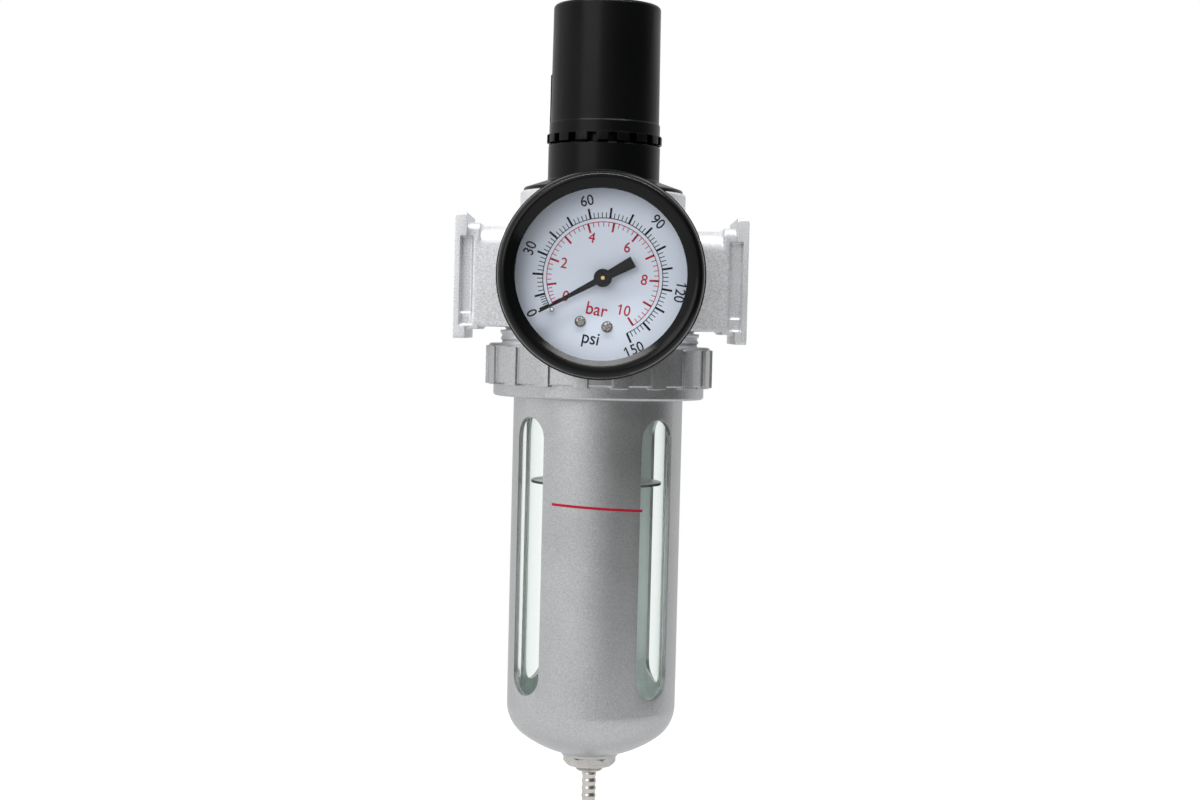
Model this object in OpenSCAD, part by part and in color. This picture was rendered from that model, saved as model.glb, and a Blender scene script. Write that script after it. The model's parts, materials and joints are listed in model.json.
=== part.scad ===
// Air filter-regulator with a front gauge, in millimetres.
// The origin is the centre of the inlet port's mouth. +X is the flow, +Z is up, the gauge faces -Y.
// Every module works about the unit's upright axis, with z = 0 on the line of the ports.

/* [Ports and body] */
// Distance between the mouths of the two ports
port_span = 84; // [82:1:100]
// Bore of the tapped ports
port_bore_d = 19; // [16:0.2:20.4]
// Depth of the tapped ports
port_depth = 15; // [12:0.5:16]
// Bore of the passages behind the ports
passage_d = 13; // [10:0.5:14]
// Side of the square end flanges
flange_side = 36; // [34:0.5:42]
// Thickness of the end flanges
flange_t = 3.3; // [2.8:0.1:4.5]
// Length of the thick block behind each mouth
block_l = 7; // [6.6:0.1:10]
// Height of the thick block
block_h = 30.6; // [29.6:0.2:32]
// Height of the port necks
neck_h = 29; // [26:0.5:29.5]
// Depth of the port necks, front to back
neck_d = 31; // [28:0.5:33]
// Rounding of the necks' upper edges
neck_round = 6; // [3:0.5:9]
// Metal between a clamp groove and its mouth
groove_lip = 1.6; // [1.2:0.1:2.6]
// Width of the clamp grooves
groove_w = 3.5; // [2.4:0.1:3.6]
// Depth of the clamp grooves
groove_depth = 0.8; // [0.4:0.1:2.4]
// Top of the clamp grooves over the port line
groove_top = 11.4; // [9:0.2:13]
// Height of the shallow foot in each clamp groove
groove_foot = 3.6; // [2:0.2:6]
// Underside of the body below the port line
body_low = 15.3; // [14.8:0.1:16]
// Step from the threaded skirt in to the body's core
core_inset = 1.8; // [1:0.1:2.4]
// Length of the threaded skirt
skirt_len = 11.7; // [10:0.1:14]
// Wall of the threaded skirt
skirt_wall = 4.8; // [4:0.1:6]
// Pitch of the skirt's thread
skirt_pitch = 1.5; // [1:0.1:2]
// Depth of the skirt's thread
thread_depth = 0.8; // [0.4:0.1:1.2]

/* [Gauge ports] */
// Diameter of the two gauge bosses
boss_d = 19; // [17:0.5:22]
// Distance from the axis to a boss face
boss_reach = 30; // [28.5:0.5:36]
// Bore of the gauge ports
gauge_bore_d = 11.8; // [9:0.2:13]
// Depth of the gauge ports
gauge_bore_depth = 13; // [10:0.5:14]
// Head diameter of the rear plug
plug_head_d = 16; // [14:0.5:18]
// Head height of the rear plug
plug_head_h = 2.6; // [1.5:0.1:4]
// Hex socket of the rear plug, across flats
plug_socket = 6; // [4:0.5:7]

/* [Diaphragm housing] */
// Outer diameter of the housing
housing_d = 48.6; // [47:0.2:51]
// Wall of the housing
housing_wall = 2.6; // [2:0.1:3.4]
// Top of the housing over the port line
housing_top = 25.5; // [24:0.5:28]
// Floor of the sensing chamber over the port line
floor_z = 10; // [9.5:0.1:11]
// Depth of the sensing chamber under the diaphragm
sense_depth = 2.9; // [2.7:0.1:3.5]
// Width of the ledge that clamps the diaphragm
ledge_w = 3.2; // [2:0.1:4]
// Thickness of the diaphragm
diaphragm_t = 1.5; // [1:0.1:2]
// Thickness of the diaphragm plate
plate_t = 1.6; // [1.2:0.1:2.4]
// Radius of the diaphragm plate
plate_r = 13; // [11:0.5:16]

/* [Bonnet] */
// Diameter of the bonnet
bonnet_d = 32.8; // [31:0.2:36]
// Top of the bonnet's wide part over the port line
bonnet_top = 39.4; // [37:0.2:44]
// Height of the bonnet's sloping base
bonnet_slope = 3.1; // [2:0.1:5]
// Diameter of the turret inside the knob
turret_d = 27.2; // [26.6:0.1:28]
// Wall of the turret
turret_wall = 2; // [1.8:0.1:2.4]
// Height of the turret
turret_h = 22.6; // [21:0.2:26]
// Thickness of the turret's roof
roof_t = 2.5; // [2:0.1:4]
// Width of the grooves that guide the spring nut
key_w = 4.4; // [3:0.1:6]
// Depth of the grooves that guide the spring nut
key_depth = 1.05; // [0.8:0.05:1.2]

/* [Knob] */
// Diameter of the knob
knob_d = 31.9; // [31:0.1:36]
// Draft of the knob's side, bottom radius less top radius
knob_draft = 0.25; // [0:0.05:0.8]
// Height of the knob
knob_h = 40.5; // [39:0.5:50]
// Thickness of the knob's roof
knob_roof = 2.5; // [1.5:0.1:4]
// Rounding of the knob's top edge
knob_edge = 1.2; // [0.4:0.1:1.6]
// How far the smooth band stands out
band_out = 0.3; // [0.1:0.1:0.6]
// Height of the smooth band
band_h = 3.6; // [2:0.1:6]
// How far the toothed rim stands out
rim_out = 0.95; // [0.5:0.05:2]
// Height of the toothed rim
rim_h = 2.5; // [1.5:0.1:4]
// Number of notches in the rim
rim_notches = 17; // [8:1:24]
// Width of a notch
notch_w = 2.4; // [1.5:0.1:3]
// Height of the raised grip rib
rib_h = 14; // [8:1:18]

/* [Adjusting screw] */
// Diameter of the adjusting screw
screw_d = 8; // [6.8:0.1:10]
// Length of the screw's thread
screw_len = 21; // [19:0.5:24]
// Diameter of the screw's shank
shank_d = 6.4; // [6.2:0.1:6.6]
// Diameter of the screw's collar
screw_collar_d = 12; // [10:0.5:16]
// Thickness of the screw's collar
screw_collar_t = 1.5; // [1:0.1:2.5]
// Thickness of the thrust washer
washer_t = 1; // [0.6:0.1:1.6]
// Hex drive of the screw, across flats
drive_af = 5.5; // [4.6:0.1:5.5]
// Length of the hex drive
drive_len = 12; // [9:0.5:12.5]
// Thickness of the retaining clip
clip_t = 0.8; // [0.5:0.1:1]
// Thickness of the spring nut
nut_t = 4; // [3:0.2:5]
// Room over the spring nut at rest
nut_room = 2; // [1:0.2:3]
// Wire of the range spring
spring_wire = 2.2; // [1.6:0.1:2.6]
// Mean radius of the range spring
spring_r = 8.9; // [8:0.1:9.2]
// Turns of the range spring
spring_turns = 6; // [4:1:8]

/* [Valve] */
// Valve seat below the port line
seat_drop = 4; // [3.6:0.1:5]
// Bore of the valve seat
seat_d = 9.2; // [7:0.2:10]
// Bore of the valve chamber
chamber_d = 17; // [15:0.5:18]
// Bore of the outlet chamber over the seat
outlet_d = 11; // [9.5:0.5:12]
// Height of the outlet chamber over the port line
outlet_h = 6.5; // [5.5:0.1:7]
// Diameter of the valve stem
stem_d = 3; // [2.4:0.1:3.4]
// Diameter of the valve disc
valve_d = 12.8; // [11.4:0.2:14]
// Thickness of the valve disc
valve_t = 2.5; // [1.8:0.1:3]
// Thickness of the valve seal
valve_seal_t = 1.75; // [1.2:0.05:2]
// Wire of the valve spring
valve_wire = 0.8; // [0.5:0.1:1]
// Turns of the valve spring
valve_turns = 4; // [3:1:5]
// Thickness of the valve guide's floor
guide_floor = 4; // [3:0.2:5]
// Thickness of the valve guide's flange
guide_flange_t = 3; // [2:0.2:4]
// Diameter of the valve guide's flange
guide_flange_d = 22; // [21:0.2:23]
// Diameter of the stud that carries the filter element
stud_d = 8; // [6.5:0.2:8]

/* [Filter] */
// Outer diameter of the filter element
element_d = 26; // [22:0.5:28]
// Inner diameter of the filter element
element_bore = 16; // [14:0.5:18]
// Length of the filter element
element_l = 37; // [30:1:45]
// Thickness of the deflector's cap
deflector_t = 2; // [1.5:0.1:3]
// Diameter of the deflector
deflector_d = 36.6; // [33:0.2:37]
// Height of the deflector's vanes
vane_h = 5; // [3:0.5:8]
// Number of vanes
vanes = 14; // [8:1:20]
// Tilt of the vanes
vane_tilt = 35; // [0:5:45]
// Diameter of the baffle plate
baffle_d = 38.4; // [30:0.2:38.6]
// Thickness of the baffle plate
baffle_t = 0.8; // [0.6:0.1:2]
// Height of the baffle's hub under the plate
baffle_hub_h = 6; // [4:0.5:10]

/* [Bowl and guard] */
// Outer diameter of the bowl guard
guard_d = 49.8; // [48:0.2:54]
// Wall of the guard
guard_wall = 1.6; // [1:0.1:2]
// Height of the guard below the collar, domed end included
guard_h = 106.4; // [96:0.1:130]
// Depth of the guard's domed end
dome_depth = 15.6; // [14.4:0.2:18]
// Rounding between the guard's side and its dome
dome_knuckle = 11; // [9:0.5:11.6]
// Width of the sight windows
window_w = 12; // [8:0.5:14]
// From the collar down to a window's upper end
window_high = 5.8; // [4:0.1:20]
// From the domed end up to a window's lower end
window_low = 4.5; // [2:0.1:20]
// Angle from the front to a window
window_angle = 48.5; // [40:0.5:50]
// Angle from the back to a window
back_window_angle = 58; // [40:0.5:62]
// Turn of the guard on its seat, seen from above
guard_turn = -3.4; // [-10:0.2:10]
// Thickness of the guard's flange
guard_flange_t = 2; // [1.5:0.1:3]
// Gap between guard and bowl
bowl_gap = 0.9; // [0.4:0.1:1.2]
// Wall of the bowl
bowl_wall = 2.4; // [2:0.1:2.6]
// Thickness of the bowl's flange
bowl_flange_t = 3.2; // [2:0.1:4]
// Height of the bowl's spigot over its flange
spigot_h = 5.5; // [4:0.1:5.8]
// Section of the bowl's O-ring
bowl_ring_d = 2; // [1.5:0.1:2.6]

/* [Collar] */
// Gap between the body's underside and the collar
collar_drop = 3.9; // [2:0.1:6]
// Wall of the collar
collar_wall = 3.1; // [2.4:0.1:5]
// Height of the collar's smooth band
collar_band_h = 4; // [2.6:0.1:6]
// Step from the collar's side in to its band
collar_band_in = 1.55; // [0.5:0.05:2]
// Thickness of the collar's inner lip
lip_t = 2; // [1.5:0.1:3]
// Number of grip tabs
tabs = 18; // [10:1:24]
// Width of a grip tab
tab_w = 4.5; // [3:0.1:6]
// How far a grip tab stands out
tab_out = 0.85; // [0.4:0.05:1.5]
// How far a grip tab hangs over the band
tab_hang = 0.6; // [0:0.1:1.5]

/* [Drain] */
// Diameter of the drain body's shank
drain_d = 8; // [7.6:0.1:9]
// Pitch of the shank's thread
drain_pitch = 1.2; // [0.8:0.1:1.5]
// Diameter of the drain body's head
drain_head_d = 15; // [13:0.5:17]
// Thickness of the drain body's head
drain_head_t = 3; // [2:0.2:4]
// Thickness of the drain gasket
gasket_t = 1; // [0.6:0.1:1.6]
// Drain nut across flats
drain_nut_af = 13.6; // [12:0.1:15]
// Thickness of the drain nut
drain_nut_t = 3; // [2:0.1:5]
// How far the shank shows under the nut
drain_show = 1.7; // [0.8:0.1:3]
// Bore of the drain body's spring pocket
pocket_d = 6; // [5.4:0.1:6.2]
// Depth of the spring pocket
pocket_depth = 9.6; // [8:0.2:10]
// Diameter of the drain stem's neck
drain_neck_d = 3.2; // [2.8:0.1:3.4]
// Thickness of the drain stem's shoulder
shoulder_t = 1.5; // [1:0.1:2]
// Wire of the drain spring
drain_wire = 0.5; // [0.3:0.05:0.6]
// Turns of the drain spring
drain_turns = 4; // [3:1:5]
// Thickness of the drain seal
drain_seal_t = 1.2; // [0.8:0.1:2]
// Diameter of the drain seal
drain_seal_d = 6.6; // [5.4:0.2:8]
// Hose tail diameter between its ribs
tail_d = 3.8; // [3:0.1:4.4]
// How far the tail's ribs stand out
tail_rib = 0.25; // [0.1:0.05:0.5]
// Spacing of the tail's ribs
rib_pitch = 2.2; // [1.6:0.1:3]
// Number of ribs on the tail
tail_ribs = 5; // [3:1:7]

/* [Gauge] */
// Outer diameter of the gauge bezel
bezel_d = 56.3; // [52:0.1:60]
// Opening of the bezel
opening_d = 45.8; // [42:0.2:48]
// Wall of the bezel's skirt
bezel_wall = 1.85; // [1.2:0.05:2.4]
// How far the bezel's crest stands over the lens
bezel_rise = 3; // [2:0.1:4]
// Width of the bezel's rounded outer edge
bezel_round = 1.8; // [1:0.1:2.4]
// Height of the bezel's inner edge over the lens
bezel_lip = 1; // [0.6:0.1:1.6]
// Length of the bezel's skirt behind the lens front
bezel_skirt = 8; // [5:0.5:10]
// Wall of the gauge case
case_wall = 0.8; // [0.6:0.1:1.2]
// Depth of the gauge case
case_depth = 17.4; // [16.8:0.1:22]
// Thickness of the lens gasket
lens_gasket_t = 0.8; // [0.5:0.1:1.2]
// Thickness of the lens
lens_t = 2; // [1.5:0.1:3]
// Thickness of the dial
dial_t = 0.8; // [0.5:0.1:1]
// Gauge hex, across flats
gauge_hex = 14; // [12:0.5:17]
// Length of the gauge hex
gauge_hex_l = 6.5; // [4:0.5:10]
// Turn of the dial on its case, seen from the front
dial_turn = -10; // [-15:1:15]
// Offset of the pointer's axis from the case's axis, to the right
hub_x = 0.5; // [-1:0.1:1]
// Offset of the pointer's axis from the case's axis, upwards
hub_y = -0.8; // [-1:0.1:1]
// Angle of the zero mark on the dial
zero_angle = 225; // [215:1:235]
// Pointer's rest past the zero mark
rest_angle = 5.8; // [0:0.1:8]
// Length of the pointer from its axis
pointer_l = 19.4; // [15:0.1:21]
// Length of the pointer's tail
tail_l = 9.2; // [6:0.1:12]
// Width of the pointer's tail
tail_w = 3.2; // [2:0.1:4]
// Radius of the pointer's hub
hub_r = 2.45; // [1.8:0.05:3]
// Thickness of the pointer
pointer_t = 0.5; // [0.3:0.1:0.6]
// Radius of the stop pin's place on the dial
stop_at = 16; // [12:0.5:18]
// Radius of the stop pin
stop_r = 0.65; // [0.4:0.05:0.9]
// Teeth of the pinion
pinion_teeth = 12; // [12:1:16]
// Tooth module of the gear pair
gear_module = 0.2; // [0.2:0.01:0.22]
// Gear ratio of the sector to the pinion
gear_ratio = 9; // [8:1:9]
// Mean radius of the Bourdon tube
tube_r = 20.5; // [20.2:0.1:21.5]
// Depth of the Bourdon tube
tube_h = 5; // [3:0.1:5]
// Width of the Bourdon tube
tube_w = 1.8; // [1:0.1:2]

/* [Hidden] */
$fn = 96;

// Extra length of a cut past the face that it opens
over = 1;
// Radial room of a seated or threaded fit
seat_fit = 0.05;
// Radial room of a running fit
run_fit = 0.05;
// Room around a piece that slides or turns past another
clear = 0.3;
// Radius of the small rounded edges
edge = 0.8;

// Bowl and guard, from the guard's diameter outwards
guard_r = guard_d / 2;
bowl_r = guard_r - guard_wall - bowl_gap;
skirt_bore = bowl_r + bowl_ring_d + 2 * seat_fit;
skirt_r = skirt_bore + skirt_wall;
core_r = skirt_r - core_inset;
block_round = 2.5;
passage_end = 12;
drop_r = 4.5;
sense_r = 1.5;
plug_len = 9;
cup_r = skirt_bore - 3;
collar_bore = skirt_r + clear / 2;
collar_r = collar_bore + collar_wall;
flange_r = collar_bore - clear;

// Heights below the body
skirt_z = -body_low - skirt_len;
bowl_top = skirt_z - clear;
bowl_flange_z = bowl_top - bowl_flange_t;
guard_flange_z = bowl_flange_z - guard_flange_t;
collar_z = guard_flange_z - lip_t;
collar_top = -body_low - collar_drop;
collar_step = collar_z + collar_band_h;
tab_phase = -99;
spigot_top = bowl_top + spigot_h;
cup_roof = spigot_top + 4.7;
dome_z = collar_z - guard_h + dome_depth;
window_l = collar_z - window_high - dome_z - window_low;
window_z = dome_z + window_low + window_l / 2;

// Heights of the housing, the bonnet and the knob
housing_r = housing_d / 2;
housing_bore = housing_r - housing_wall;
ledge_z = floor_z + sense_depth;
ledge_r = housing_bore - ledge_w;
bonnet_foot = ledge_z + diaphragm_t;
plate_top = bonnet_foot + plate_t;
bonnet_r = bonnet_d / 2;
bonnet_lip = housing_r - 0.9;
turret_r = turret_d / 2;
turret_bore = turret_r - turret_wall;
turret_top = bonnet_top + turret_h;
roof_z = turret_top - roof_t;
plate_gap = 5;
plate_room = plate_r + plate_gap;
plate_lift = 7;
vent_r = 1;
vent_drop = 5;
knob_z = bonnet_top + 0.2;
knob_r = knob_d / 2;
knob_top = knob_z + knob_h;
knob_bore = turret_r + clear + 0.1;
rim_top = knob_z + rim_h;
band_top = rim_top + band_h;
knob_hub_r = 5.5;
rib_w = 1.2;
rib_out = band_out * 2 / 3;
notch_h = rim_h - 0.3;
notch_phase = -102.6;

// Heights of the adjusting screw
washer_z = roof_z - washer_t;
screw_collar_z = washer_z - screw_collar_t;
screw_z = screw_collar_z - screw_len;
clip_z = turret_top + seat_fit;
clip_groove_d = shank_d - 1.2;
clip_w = 2.4;
screw_pitch = 1.5;
screw_thread = 0.5;
drive_z = clip_z + clip_t + seat_fit;
nut_top = screw_collar_z - nut_room;
nut_z = nut_top - nut_t;
nut_r = turret_bore - clear;

// Heights of the valve
seat_z = -seat_drop;
valve_seal_z = seat_z - seat_fit - valve_seal_t;
valve_z = valve_seal_z - valve_t;
relief_t = 1;
relief_z = ledge_z - relief_t;
relief_neck_r = 2.95;
relief_bore_r = 0.9;
bead_d = 2;
spring_boss_h = 2;
spring_boss_r = 6.6;
guide_z = cup_roof - guide_flange_t;
guide_pocket_z = guide_z + guide_floor;
guide_r = chamber_d / 2 - seat_fit;
guide_wall = 2.2;
guide_rim = valve_z - 2.8;
guide_tube_r = stem_d / 2 + 1.4;
guide_ring_d = 1.6;
valve_spring_r = (guide_tube_r + guide_r - guide_wall) / 2;
deflector_z = guide_z - deflector_t;
element_z = deflector_z - element_l;
baffle_z = element_z - baffle_t;
stud_end = baffle_z - baffle_hub_h + 2;
vane_t = 0.9;

// Heights of the drain
guard_foot = dome_z - dome_depth + 0.1;
guard_pad_r = 8.4;
drain_pad_z = dome_z - dome_depth + guard_wall + bowl_gap + bowl_wall + 1.2;
drain_head_z = drain_pad_z + gasket_t;
drain_top = drain_head_z + drain_head_t;
drain_nut_z = guard_foot - drain_nut_t;
shank_end = drain_nut_z - drain_show;
pocket_z = shank_end + pocket_depth;
drain_shoulder_z = shank_end + 2;
drain_bore_r = drain_neck_d / 2 + run_fit;
drain_spring_r = (pocket_d + drain_neck_d) / 4;
drain_cap_t = 1.2;
tail_len = (tail_ribs + 0.4) * rib_pitch;
tail_bore_r = 0.9;
drain_thread = 0.5;

// Gauge depths, measured from the back of its case towards the front
bezel_r = bezel_d / 2;
case_r = bezel_r - bezel_wall - seat_fit;
case_bore = case_r - case_wall;
rear_rim = 0.5;
stem_neck_r = 5;
lens_back = case_depth + lens_gasket_t;
lens_front = lens_back + lens_t;
lens_r = case_r - 0.7;
dial_front = lens_back - 3.2;
dial_back = dial_front - dial_t;
plate_gauge = 1;
front_plate_z = dial_back - plate_gauge;
pillar_h = 5.2;
back_plate_z = front_plate_z - pillar_h - plate_gauge;
pillar_r = 1;
pillar_left = 4.3;
pillar_right = 3.7;
pillar_up = 3.5;
pillar_down = 2.2;
plate_left = 7.2;
plate_right = 5;
plate_up = 5;
plate_down = 3.5;
pointer_z = dial_front + 1.6;
needle_root = 0.93;
needle_tip = 0.25;
dial_screw_r = 0.84;
screw_spread = 3.67;
screw_below = 12.6;
cross_w = 0.5;
arbor_r = 0.8;
pivot_r = 0.5;
pinion_r = gear_module * pinion_teeth / 2;
sector_teeth = pinion_teeth * gear_ratio;
sector_r = gear_module * sector_teeth / 2;
gear_gap = pinion_r + sector_r;
gear_z = back_plate_z + plate_gauge + 2;
sector_t = 1;
pinion_slack = 1.5;
sector_slack = 0.12;
sector_y = hub_y - gear_gap;
swing = 280.1 - rest_angle;
sector_swing = swing / gear_ratio;
tail_pin_r = 0.4;
sector_tail = 5;
tail_angle = -12;
link_z = gear_z + sector_t + seat_fit;
tube_z = gear_z + sector_t / 2 - 0.1;
arm_angle = 245;
arm_w = 6;
tube_from = arm_angle - asin(arm_w / 2 / (tube_r - tube_w / 2)) - 0.2;
tube_to = -14;
tube_wall = 0.4;
link_at = -25;
link_t = 0.6;
link_end = 1.1;
link_tip = tube_r * [cos(link_at), sin(link_at)];
link_pin = [hub_x, sector_y] + sector_tail * [cos(tail_angle), sin(tail_angle)];
pointer_angle = zero_angle + dial_turn - rest_angle;
stop_gap = 0.1;
needle_half = needle_root + (needle_tip - needle_root) * stop_at / pointer_l;
stop_angle = pointer_angle + asin((needle_half + stop_r + stop_gap) / stop_at);

// Points along an arc about a centre
function arc(c, r, a0, a1, n = 6) =
    [for (i = [0 : n]) c + r * [cos(a0 + (a1 - a0) * i / n), sin(a0 + (a1 - a0) * i / n)]];

// Points of a thread's outline, from z0 up to z1
function thread(r, z0, z1, pitch, depth) =
    let (n = floor((z1 - z0) / pitch), p = (z1 - z0) / n)
    [for (i = [0 : n - 1], s = [0 : 1]) [r - s * depth, z0 + (i + s / 2) * p]];

// Angle between a tooth's middle and its flank at radius q, for an involute tooth
function involute(a) = tan(a) * 180 / PI - a;
function flank(q, r, n, slack) =
    let (base = r * cos(20)) 90 / n - slack + involute(20) - involute(acos(min(1, base / q)));

// Outline of one tooth about angle c, from its root over its tip
function tooth(c, r, n, root, tip, slack) =
    let (base = max(root, r * cos(20)), q = [root, for (i = [0 : 4]) base + (tip - base) * i / 4])
    concat(
        [for (i = [0 : 5]) q[i] * [cos(c - flank(q[i], r, n, slack)), sin(c - flank(q[i], r, n, slack))]],
        [for (i = [5 : -1 : 0]) q[i] * [cos(c + flank(q[i], r, n, slack)), sin(c + flank(q[i], r, n, slack))]]
    );

// Middle of a coil's wire at step i, with 12 steps a turn
coil_steps = 12;
function coil_point(r, wire, z0, z1, turns, i) =
    let (n = coil_steps * turns, a = 360 * i / coil_steps)
    [r * cos(a), r * sin(a), z0 + wire / 2 + (z1 - z0 - wire) * i / n];

// Least gap between a coil's neighbouring turns
function coil_gap(r, wire, z0, z1, turns) =
    min([
        for (i = [0 : coil_steps * (turns - 1)])
            let (low = coil_point(r, wire, z0, z1, turns, i))
            norm(coil_point(r, wire, z0, z1, turns, i + coil_steps) - low)
    ]) - wire;

// Moves a piece from the upright axis to the part's frame
module on_axis() translate([port_span / 2, 0, 0]) children();

// Moves a piece from the gauge's frame, with z towards the front, to the upright axis
module on_gauge() translate([0, -boss_reach - gauge_hex_l, 0]) rotate([90, 0, 0]) children();

module tube(r, bore, z0, z1) {
    difference() {
        translate([0, 0, z0]) cylinder(r = r, h = z1 - z0);
        translate([0, 0, z0 - over]) cylinder(r = bore, h = z1 - z0 + 2 * over);
    }
}

module disc(r, z0, z1) translate([0, 0, z0]) cylinder(r = r, h = z1 - z0);

module hex(flats, z0, z1) translate([0, 0, z0]) cylinder(d = flats / cos(30), h = z1 - z0, $fn = 6);

module torus(r, d, z) translate([0, 0, z]) rotate_extrude() translate([r, 0]) circle(d = d);

module rounded_rect(w, h, top_r, low_r) {
    translate([-w / 2, low_r - h / 2]) square([w, h - top_r - low_r]);
    translate([top_r - w / 2, 0]) square([w - 2 * top_r, h / 2]);
    translate([low_r - w / 2, -h / 2]) square([w - 2 * low_r, h / 2]);
    for (s = [-1, 1]) {
        translate([s * (w / 2 - top_r), h / 2 - top_r]) circle(top_r);
        translate([s * (w / 2 - low_r), low_r - h / 2]) circle(low_r);
    }
}

// A bar along +X with the given section, from the inlet's mouth
module port_bar(l) translate([-port_span / 2, 0, 0]) rotate([90, 0, 90]) linear_extrude(l) children();

// Half section of a dished end below z = 0, with rounded corners and a round crown
module dish(r, depth, knuckle) {
    crown = ((r - knuckle) ^ 2 + depth ^ 2 - knuckle ^ 2) / (2 * (depth - knuckle));
    rise = crown - depth;
    reach = 2 * crown / (crown - knuckle);
    intersection() {
        union() {
            translate([r - knuckle, 0]) circle(knuckle);
            intersection() {
                translate([0, rise]) circle(crown);
                polygon([[0, rise], [0, rise - 2 * crown], [reach * (r - knuckle), rise - reach * rise]]);
            }
        }
        translate([0, -depth - over]) square([r + over, depth + over]);
    }
}

// A round-bottomed cup whose straight side ends at dome_z, drawn in by t from the guard's outside
module cup(t, top) {
    translate([0, 0, dome_z]) rotate_extrude() dish(guard_r - t, dome_depth - t, dome_knuckle - t);
    disc(guard_r - t, dome_z, top);
}

module coil(r, wire, z0, z1, turns) {
    sides = 6;
    n = coil_steps * turns;
    points = [
        for (i = [0 : n], j = [0 : sides - 1])
            let (c = coil_point(r, wire, z0, z1, turns, i), a = 360 * i / coil_steps, b = 360 * j / sides)
            c + wire / 2 * [cos(b) * cos(a), cos(b) * sin(a), sin(b)]
    ];
    side_faces = [
        for (i = [0 : n - 1], j = [0 : sides - 1])
            let (k = (j + 1) % sides, p = i * sides, q = p + sides)
            each [[p + j, p + k, q + j], [p + k, q + k, q + j]]
    ];
    ends = [for (j = [1 : sides - 2]) each [[0, j + 1, j], [n * sides, n * sides + j, n * sides + j + 1]]];
    polyhedron(points, concat(side_faces, ends));
}

// The casting's outline: skirt with its thread, core, and the diaphragm housing on top
module core() {
    shoulder_r = (core_r - housing_r - edge) / 2;
    shoulder_z = floor_z + 2;
    rotate_extrude() polygon(concat(
        [[0, skirt_z], [skirt_r - thread_depth, skirt_z]],
        thread(skirt_r, skirt_z + edge, -body_low - edge, skirt_pitch, thread_depth),
        [[skirt_r, -body_low - edge], [skirt_r, -body_low], [core_r, -body_low]],
        arc([core_r - shoulder_r, shoulder_z - shoulder_r], shoulder_r, 0, 90),
        arc([housing_r + edge, shoulder_z + edge], edge, 270, 180),
        arc([housing_r - edge, housing_top - edge], edge, 0, 90),
        [[0, housing_top]]
    ));
}

// One port: neck, thick block and end flange
module port_end() {
    port_bar(port_span / 2) rounded_rect(neck_d, neck_h, neck_round, edge);
    port_bar(block_l) rounded_rect(neck_d, block_h, block_round, edge);
    port_bar(flange_t) rounded_rect(flange_side, flange_side, edge, edge);
}

// Front and back grooves of one port's clamp
module groove(depth, z0, z1) {
    reach = (flange_side - neck_d) / 2 + depth + over;
    for (s = [0, 1]) mirror([0, s, 0])
        translate([groove_lip - port_span / 2, neck_d / 2 - depth, z0]) cube([groove_w, reach, z1 - z0]);
}

module port_cuts() {
    groove_low = 1 - block_h / 2;
    translate([-port_span / 2, 0, 0]) rotate([0, 90, 0]) {
        translate([0, 0, -over]) cylinder(d = port_bore_d, h = port_depth + over);
        cylinder(d = passage_d, h = port_span / 2 - passage_end);
    }
    groove(groove_depth, groove_low + groove_foot, groove_top);
    groove(groove_depth / 2, groove_low, groove_low + groove_foot);
}

// Front and back gauge ports, with the holes that bring the outlet pressure to them
module gauge_cuts() {
    floor_y = boss_reach - gauge_bore_depth;
    for (s = [0, 1]) mirror([0, s, 0]) rotate([90, 0, 0]) {
        translate([0, 0, floor_y]) cylinder(d = gauge_bore_d, h = gauge_bore_depth + over);
        translate([0, outlet_h / 2, 0]) cylinder(r = sense_r, h = floor_y + over);
    }
}

// Flow path: down the inlet drop to the bowl, up through the valve seat, out to the outlet and the diaphragm
module flow_cuts() {
    disc(skirt_bore, skirt_z - over, spigot_top + clear);
    disc(cup_r, skirt_z, cup_roof);
    disc(guide_r + guide_ring_d + 2 * seat_fit, cup_roof - over, cup_roof + guide_ring_d + 2 * seat_fit);
    disc(chamber_d / 2, cup_roof - over, seat_z);
    disc(seat_d / 2, seat_z - over, over);
    disc(outlet_d / 2, 0, outlet_h);
    disc(stem_d / 2 + 2 * run_fit, outlet_h - over, floor_z + over);
    translate([outlet_d / 2 - sense_r, 0, 0]) disc(sense_r / 2, outlet_h - over, floor_z + over);
    disc(ledge_r, floor_z, ledge_z + over);
    disc(housing_bore, ledge_z, housing_top + over);
    translate([-guide_flange_d / 2 - drop_r - seat_fit, 0, 0]) disc(drop_r, cup_roof - over, 0);
    translate([0, 0, outlet_h / 2]) rotate([0, 90, 0])
        cylinder(r = outlet_h / 2 - 0.25, h = passage_end + over);
}

module body() {
    color("silver") difference() {
        union() {
            core();
            for (s = [0, 1]) mirror([s, 0, 0]) port_end();
            rotate([90, 0, 0]) translate([0, 0, -boss_reach]) cylinder(d = boss_d, h = 2 * boss_reach);
        }
        for (s = [0, 1]) mirror([s, 0, 0]) port_cuts();
        gauge_cuts();
        flow_cuts();
    }
}

module rear_plug() {
    color("gray") translate([0, boss_reach, 0]) rotate([-90, 0, 0]) difference() {
        union() {
            disc(plug_head_d / 2, 0, plug_head_h);
            disc(gauge_bore_d / 2 - seat_fit, -plug_len, 0);
        }
        hex(plug_socket, -plug_head_h, plug_head_h + over);
    }
}

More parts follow.
